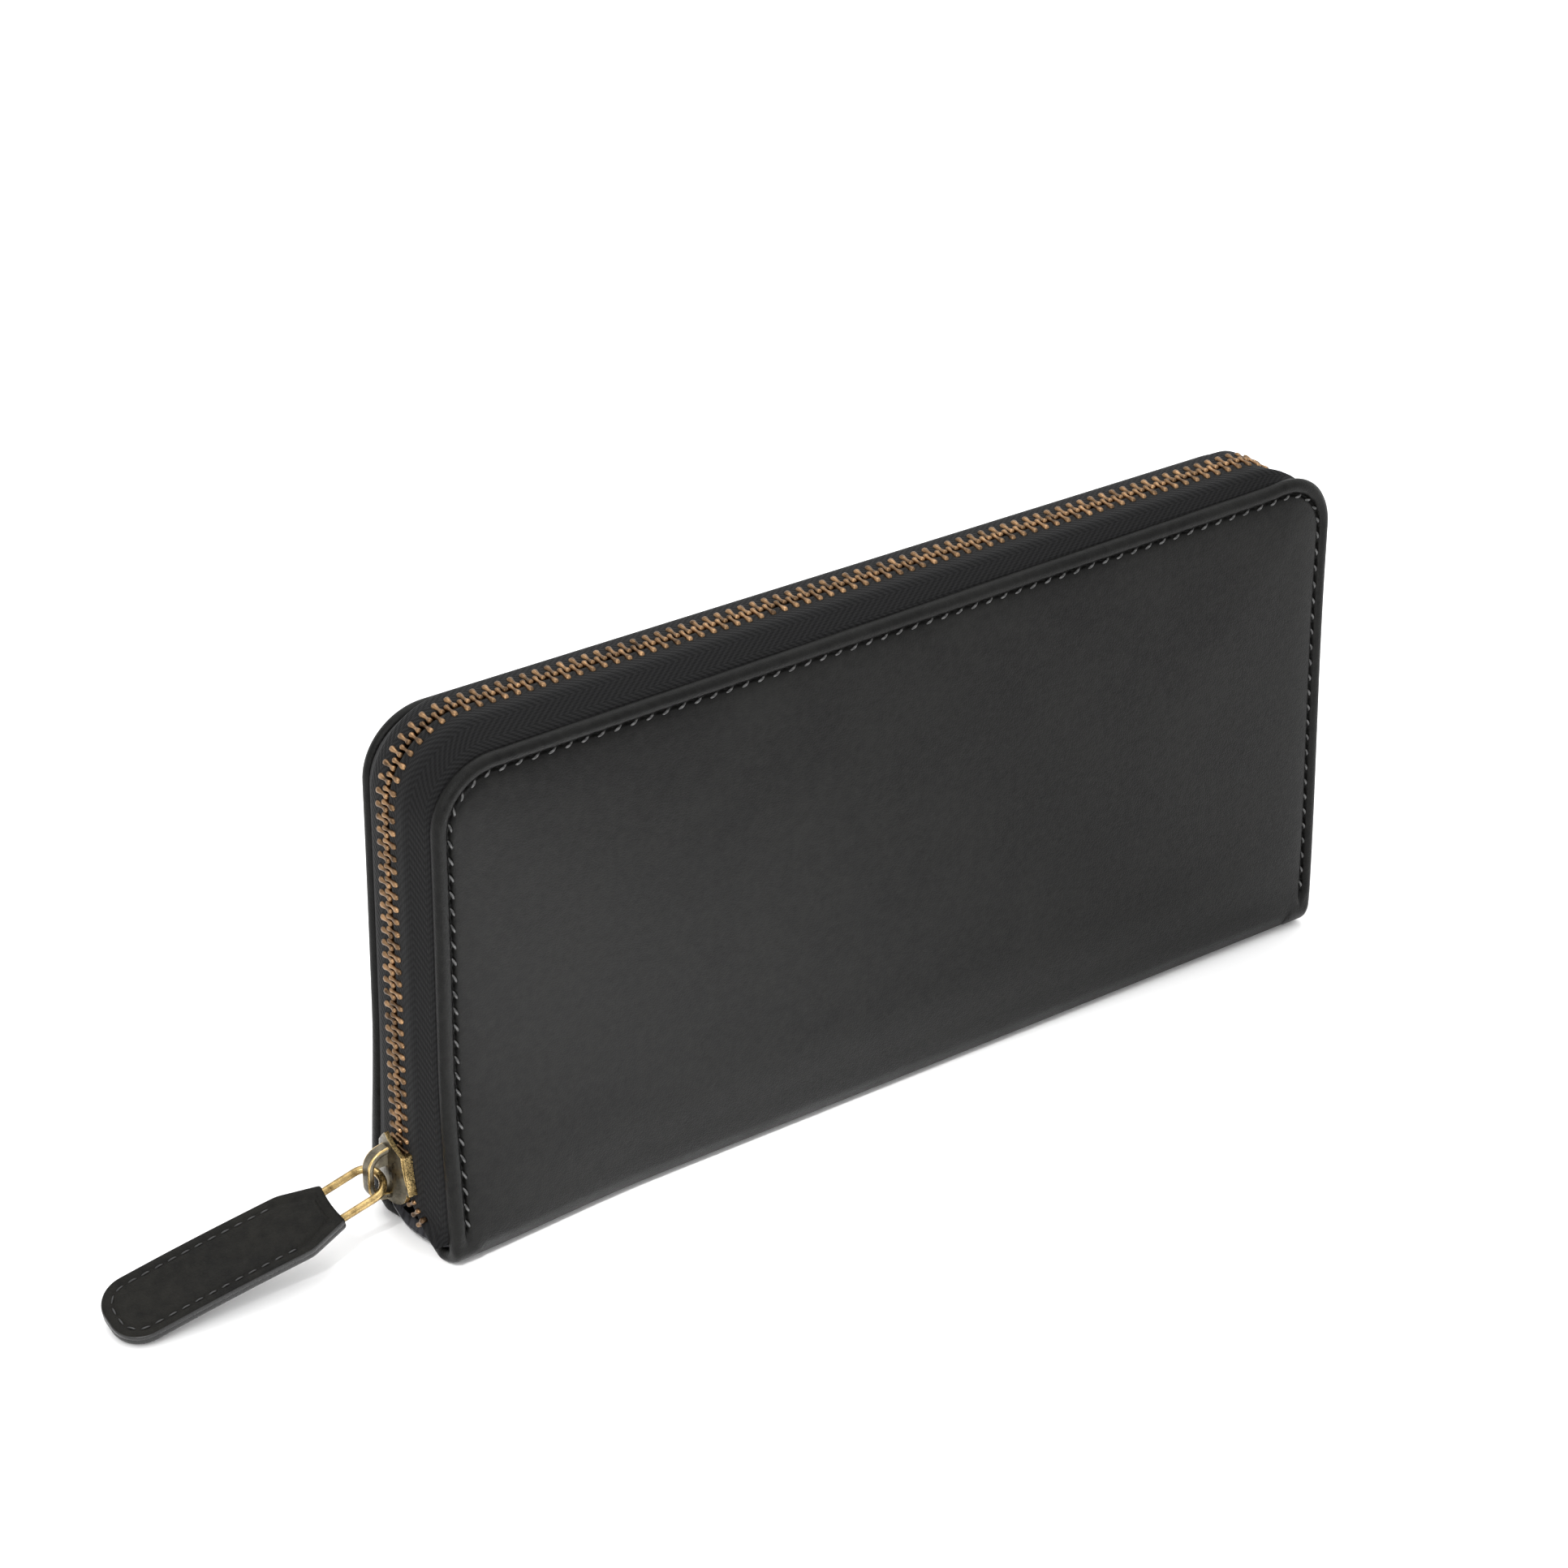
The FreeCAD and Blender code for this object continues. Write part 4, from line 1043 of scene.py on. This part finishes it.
def make_card_slots(side):
    """Four stepped leather pockets with turned tops, sewn along the middle and both ends."""
    name = SIDE_NAMES[side]
    for number, top in enumerate(SLOT_TOPS, start=1):
        depth = SLOTS_INSIDE + SLOT_THICK * (number - 1)

        def place(x, z, through, depth=depth, top=top):
            turned = 0.12 * float(smoothstep(z, top - 4.3, top - 4.0)) * through
            inward = depth + SLOT_THICK * 0.96 * through + column_bulge(x, z) + turned
            return x, side * (half_thickness(x) - inward), z

        piece = thin_sheet("%s_card_pocket_%d" % (name, number), PANEL, place, PANEL_HALF, SLOT_LOW, top,
                           radius=1.2, band=4.2)
        fit(piece, "panel_leather", name + "_cover", "%s_card_slot_%d" % (name, number))

    def face_y(x, z, layers, lift):
        """Where the inward face of so many layers of card slots is, with a lift off it."""
        inward = SLOTS_INSIDE + SLOT_THICK * layers + column_bulge(x, z) + lift
        return side * (half_thickness(x) - inward)

    mesh = Mesh()
    stitch, spacing, below = 2.1, 3.0, 3.2
    for x in (-PANEL_HALF + 1.5, 0.0, PANEL_HALF - 1.5):
        for start in np.arange(SLOT_LOW + 3, SLOT_TOPS[0] - 3, spacing):
            layers = sum(1 for top in SLOT_TOPS if start + 1 < top)
            y = face_y(x, start, layers, 0.08)
            capsule(mesh, (x, y, start), (x, y, start + stitch), (0, -side, 0), 0.2, 0.1)
    for layers, top in enumerate(SLOT_TOPS, start=1):
        for start in np.arange(-PANEL_HALF + 3, PANEL_HALF - 5, spacing):
            ends = [(x, face_y(x, top - below, layers, 0.16), top - below) for x in (start, start + stitch)]
            capsule(mesh, *ends, (0, -side, 0), 0.18, 0.08)
    seams = mesh.piece(name + "_card_pocket_seams", THREAD)
    fit(seams, "thread", name + "_cover")


POCKET_HALF, POCKET_LOW, POCKET_TOP, POCKET_Y = 93.0, 2.1, 84.0, 2.1


def make_pocket_wall(side):
    """One wall of the coin pocket, with its top edge turned over."""
    def place(x, z, through):
        share = (z - POCKET_LOW) / (POCKET_TOP - POCKET_LOW)
        sway = 0.25 * math.sin(math.pi * share) * math.cos(x / 30.0) ** 2
        turned = 0.15 * float(smoothstep(z, POCKET_TOP - 7.3, POCKET_TOP - 7.0)) * through
        return x, side * (POCKET_Y + 0.38 * through + sway + turned), z

    name = SIDE_NAMES[side]
    piece = thin_sheet("coin_%s_wall" % name, LINING, place, POCKET_HALF, POCKET_LOW, POCKET_TOP, band=7.0)
    fit(piece, "lining_fabric", "spine", "coin_pocket_%s_wall" % name)


def long_strip(name, material, profile, half_length, ends=0.0):
    """A strip along X with a closed profile of (y, z) points; ends bow out by ends at their middle."""
    points, uv = [], []
    stations = np.linspace(-1, 1, 61)
    width = max(abs(y) for y, _ in profile(0.0))
    for share in stations:
        for y, z in profile(share * half_length):
            x = share * (half_length + ends * (1 - (y / width) ** 2))
            points.append((x, y, z))
            uv.append((x, y))
    faces = tube_faces(len(stations), len(points) // len(stations))
    return clean(new_piece(name, points, faces, material, uv))


def make_spine_inside():
    """The stiffener of the spine and the lining over it, which turns up at both sides."""
    def strip(low, thick, margin, lift):
        def profile(x):
            half = half_thickness(x) - margin
            row = np.linspace(-half, half, 15)
            lower = [(y, low + lift * abs(y / half) ** 5) for y in row]
            return lower + [(y, z + thick) for y, z in reversed(lower)]
        return profile

    board = long_strip("spine_board", BOARD, strip(1.22, 0.45, 5.4, 0.0), 96.5)
    fit(board, "board", "spine", "spine_stiffener")
    lining = long_strip("spine_inner_lining", LINING, strip(1.72, 0.36, 3.2, 1.3), 98.2, ends=1.6)
    fit(lining, "lining_fabric", "spine", "spine_lining")


def make_gusset(side, end):
    """A pleat of thin fabric between a cover and the coin pocket, folded inwards."""
    panels = SLOTS_INSIDE + 4 * SLOT_THICK + COLUMN_BULGE
    pocket = POCKET_Y + 0.65
    x_cover, x_bend, x_pocket, x_fold = 96.6, 91.6, POCKET_HALF, 83.0
    z_low, z_high = 9.0, 72.0
    at_cover = half_thickness(end * 97) - COVER_INSIDE - 0.75
    at_bend = half_thickness(end * x_bend) - panels - 0.1
    at_fold = max((half_thickness(end * x_fold) - panels + pocket) / 2, pocket + 0.8)
    corners = [(x_cover, at_cover), (x_bend, at_bend), (x_fold, at_fold),
               (x_fold, pocket), (x_pocket, pocket)]
    line = rounded(corners, [0, 1.2, 0.4, 0.3, 0], steps=8)
    thick = 0.13 * normals_along(line)
    mesh = Mesh()
    sections = []
    for z in np.linspace(z_low, z_high, 22):
        wave = 0.12 * math.sin(z / 7.0)
        drawn = np.array([[x + wave * float(smoothstep(95.0 - x, 0, 6)), y] for x, y in line])
        section = np.vstack([drawn + thick, (drawn - thick)[::-1]])
        sections.append([np.array([end * x, side * y, z]) for x, y in section])
    mesh.loft(sections)
    end_name = "left" if end < 0 else "right"
    name = SIDE_NAMES[side]
    piece = mesh.piece("%s_%s_pleat" % (end_name, name), LINING)
    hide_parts("%s_%s_gusset" % (end_name, name))
    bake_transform(piece)
    length = float(lengths_along(line)[-1])


def make_coin_tape(side):
    low, high = node_box("coin_zip_%s_tape" % SIDE_NAMES[side])
    inner, outer = sorted((abs(low[1]), abs(high[1])))

    def profile(x):
        row = np.linspace(inner, outer, 7)
        upper = [(side * y, high[2] - 0.06 * ((y - inner) / (outer - inner)) ** 2) for y in row]
        return upper + [(y, z - 0.26) for y, z in reversed(upper)]

    piece = long_strip("coin_%s_tape" % SIDE_NAMES[side], TAPE, profile, high[0])
    fit(piece, "zip_tape_fabric", "spine", "coin_zip_%s_tape" % SIDE_NAMES[side])


def make_coin_teeth():
    """The small teeth of the coin zip and the stops at its two ends."""
    low, high = node_box("coin_zip_teeth")
    slider_start = node_box("coin_slider_body")[0][0]
    middle = (low[2] + high[2]) / 2
    mesh = Mesh()
    for side in (FRONT, BACK):
        for x in np.arange(low[0] + 0.5 + (1.0 if side == BACK else 0.0), slider_start - 0.5, 2.0):
            along, head, out = np.diag([1.0, -side, 1.0])
            tooth(mesh, np.array([x, 0.0, middle]), along, head, out, 0.42)
    piece = mesh.piece("coin_brass_teeth", COIN_BRASS)
    fit(piece, "coin_zip_metal", "spine", "coin_zip_teeth")
    stops = Mesh()
    for end in (-1, 1):
        inner, outer, half = 88.4, 90.0, 1.4
        outline = rounded(rectangle(end * inner, -half, end * outer, half), 0.4, closed=True, steps=4)
        stops.prism(outline, low[2], high[2] + 0.1)
    piece = bevel(stops.piece("coin_end_stops", COIN_BRASS, smooth=False), 0.15)
    fit(piece, "coin_zip_metal", "spine", "coin_zip_end_stops")


def make_coin_slider():
    """The little slider of the coin zip, its lug and its flat pull."""
    low, high = node_box("coin_slider_body")
    length = high[0] - low[0]
    mesh = Mesh()
    shape = [(0.0, 1.5), (0.8, 1.75), (3.5, 1.8), (5.2, 2.0), (6.6, 1.95), (length, 1.5)]
    outline = rounded([(low[0] + x, y) for x, y in shape] + [(low[0] + x, -y) for x, y in reversed(shape)],
                      0.5, closed=True, steps=3)
    for bottom, top in ((low[2], low[2] + 0.6), (high[2] - 0.6, high[2])):
        mesh.prism(outline, bottom, top)
    for side in (FRONT, BACK):
        lip = [(low[0] + 0.6, 1.32), (low[0] + 3.5, 1.34), (low[0] + 5.0, 1.5), (low[0] + 5.0, 1.9),
               (low[0] + 3.5, 1.7), (low[0] + 0.6, 1.66)]
        lip_low = 82.9      # clear of the pocket's walls below the tape
        mesh.prism([(x, side * y) for x, y in lip], lip_low, high[2] - 0.3)
    web = rectangle(high[0] - 0.9, -0.3, high[0] - 0.1, 0.3)
    mesh.prism(web, low[2] + 0.3, high[2] - 0.3)
    piece = bevel(mesh.piece("coin_slider_plates", COIN_BRASS, smooth=False), 0.14)
    fit(piece, "coin_zip_metal", "coin_slider", "coin_slider_body")

    low, high = node_box("coin_slider_lug")
    foot, crest = low[2] - 0.3, high[2] - 0.28
    arch = rounded([(low[0] - 0.2, foot), (low[0] + 0.1, crest), (high[0] - 0.1, crest),
                    (high[0] + 0.2, foot)], [0, 1.2, 1.2, 0], steps=8)
    mesh = Mesh()
    sweep(mesh, [(x, 0.0, z) for x, z in arch], (0, 1, 0), ellipse(0.28, 0.5, 12, 0.7))
    piece = mesh.piece("coin_slider_arch", COIN_BRASS)
    fit(piece, "coin_zip_metal", "coin_slider", "coin_slider_lug")

    low, high = node_box("coin_pull")
    pivot = joint_place("coin_pull_swing")
    mesh = Mesh()
    bar_top = rounded([(low[0], -1.5), (low[0] + 9.2, -1.9), (low[0] + 9.2, 1.9), (low[0], 1.5)],
                      [1.4, 1.0, 1.0, 1.4], closed=True, steps=6)
    mesh.prism(bar_top, pivot[2] - 0.5, pivot[2] + 0.5)
    for side in (FRONT, BACK):
        arm = rectangle(low[0] + 8.4, side * 1.25, pivot[0] + 0.5, side * 1.85)
        mesh.prism(arm, pivot[2] - 0.5, pivot[2] + 0.5)
    mesh.prism([(pivot[0] + a, pivot[2] + b) for a, b in ellipse(0.5, 0.5, 12)], -1.7, 1.7, axis=1)
    piece = bevel(mesh.piece("coin_pull_blade", COIN_BRASS, smooth=False), 0.16)
    fit(piece, "coin_zip_metal", "coin_pull", "coin_pull")


def make_bottom_stop():
    """The clip that holds both rows at the lower right end."""
    low, high = node_box("zip_bottom_stop")
    outline = rounded(rectangle(low[1], low[2], high[1], high[2]), 0.8, closed=True, steps=5)
    mesh = Mesh()
    for near, far in ((low[0], low[0] + 0.6), (high[0] - 0.6, high[0])):
        mesh.prism(outline, near, far, axis=0)
    web = rectangle(-0.5, low[2] + 0.2, 0.5, high[2] - 0.2)
    mesh.prism(web, low[0] + 0.3, high[0] - 0.3, axis=0)
    piece = bevel(mesh.piece("zip_end_clip", BRASS, smooth=False), 0.18)
    fit(piece, "antique_brass", "back_cover", "zip_bottom_stop")


# ---------------------------------------------------------------- assembly

for cover_side in (FRONT, BACK):
    make_cover_leather(cover_side)
    make_seam(cover_side)
    make_tape(cover_side)
    make_teeth(cover_side)
    make_cover_lining(cover_side)
    make_card_slots(cover_side)
make_spine_inside()
for cover_side in (FRONT, BACK):
    make_pocket_wall(cover_side)
    make_coin_tape(cover_side)
    for wallet_end in (-1, 1):
        make_gusset(cover_side, wallet_end)
make_coin_teeth()
make_coin_slider()
make_bottom_stop()
make_slider()
make_bridge()
make_link()
make_tab_thread(make_tab())


# ---------------------------------------------------------------- CAD parts that stay

SLOT_MATERIALS = {
    "black_leather": BLACK, "edge_leather": BLACK, "tab_leather": TAB, "panel_leather": PANEL,
    "lining_fabric": LINING, "zip_tape_fabric": TAPE, "thread": THREAD, "foam": FOAM, "board": BOARD,
    "antique_brass": BRASS, "coin_zip_metal": COIN_BRASS,
}
for row in frame["record"]["subparts"]:
    solid = frame["nodes"][row["node"]]
    for slot in solid.material_slots:
        slot.material = SLOT_MATERIALS[row["material_slot"]]


# ---------------------------------------------------------------- studio

def make_floor():
    half, height = 3.0, -0.0002
    mesh = bpy.data.meshes.new("floor")
    mesh.from_pydata([(x, y, height) for x, y in rectangle(-half, -half, half, half)], [], [(0, 1, 2, 3)])
    floor = bpy.data.objects.new("floor", mesh)
    bpy.context.scene.collection.objects.link(floor)
    pale = shader("pale_floor", Roughness=0.9, Specular_IOR_Level=0.2)
    speckle = noise(pale, place_of(pale), 30.0)
    plug(pale, blend_colours(pale, speckle, grey(0.94), grey(0.96)), "Base Color")
    mesh.materials.append(pale)


def light(kind, name, place, target, power, **settings):
    """A lamp at a place that shines at a target."""
    data = bpy.data.lights.new(name, kind)
    data.energy = power
    for key, value in settings.items():
        setattr(data, key, value)
    lamp = bpy.data.objects.new(name, data)
    bpy.context.scene.collection.objects.link(lamp)
    lamp.location = place
    lamp.rotation_euler = (Vector(target) - Vector(place)).to_track_quat("-Z", "Y").to_euler()


def make_camera():
    """A long lens that looks down on the slider's end from the front left."""
    azimuth, elevation, roll = math.radians(-34.99), math.radians(30.02), math.radians(0.21)
    forward = Vector((-math.sin(azimuth) * math.cos(elevation), math.cos(azimuth) * math.cos(elevation),
                      -math.sin(elevation)))
    level = Vector((math.cos(azimuth), math.sin(azimuth), 0))
    rise = level.cross(forward)
    right = level * math.cos(roll) + rise * math.sin(roll)
    up = rise * math.cos(roll) - level * math.sin(roll)
    data = bpy.data.cameras.new("camera")
    data.sensor_width = 36
    data.lens = 112.8
    data.clip_start, data.clip_end = 0.05, 20
    camera = bpy.data.objects.new("camera", data)
    bpy.context.scene.collection.objects.link(camera)
    turn = Matrix((right, up, -forward)).transposed().to_4x4()
    camera.matrix_world = Matrix.Translation((-0.45588, -0.62386, 0.50644)) @ turn
    bpy.context.scene.camera = camera


make_floor()
world = bpy.data.worlds.new("studio")
bpy.context.scene.world = world
world.use_nodes = True
world.node_tree.nodes["Background"].inputs["Color"].default_value = (1.0, 1.0, 1.0, 1.0)
world.node_tree.nodes["Background"].inputs["Strength"].default_value = 1.30
light("AREA", "key", (-0.85, -0.55, 0.75), (-0.05, 0, 0.05), 5.0, shape="RECTANGLE", size=0.6, size_y=0.6)
light("AREA", "top", (0.1, 0.15, 1.0), (0, 0, 0.05), 6.0, shape="RECTANGLE", size=1.1, size_y=0.9)
light("SPOT", "pool", (-0.55, -0.55, 0.75), (-0.075, -0.125, 0.0), 300.0,
      spot_size=math.radians(9.0), spot_blend=1.0, shadow_soft_size=0.08)
make_camera()
bpy.context.scene.view_settings.view_transform = "Standard"
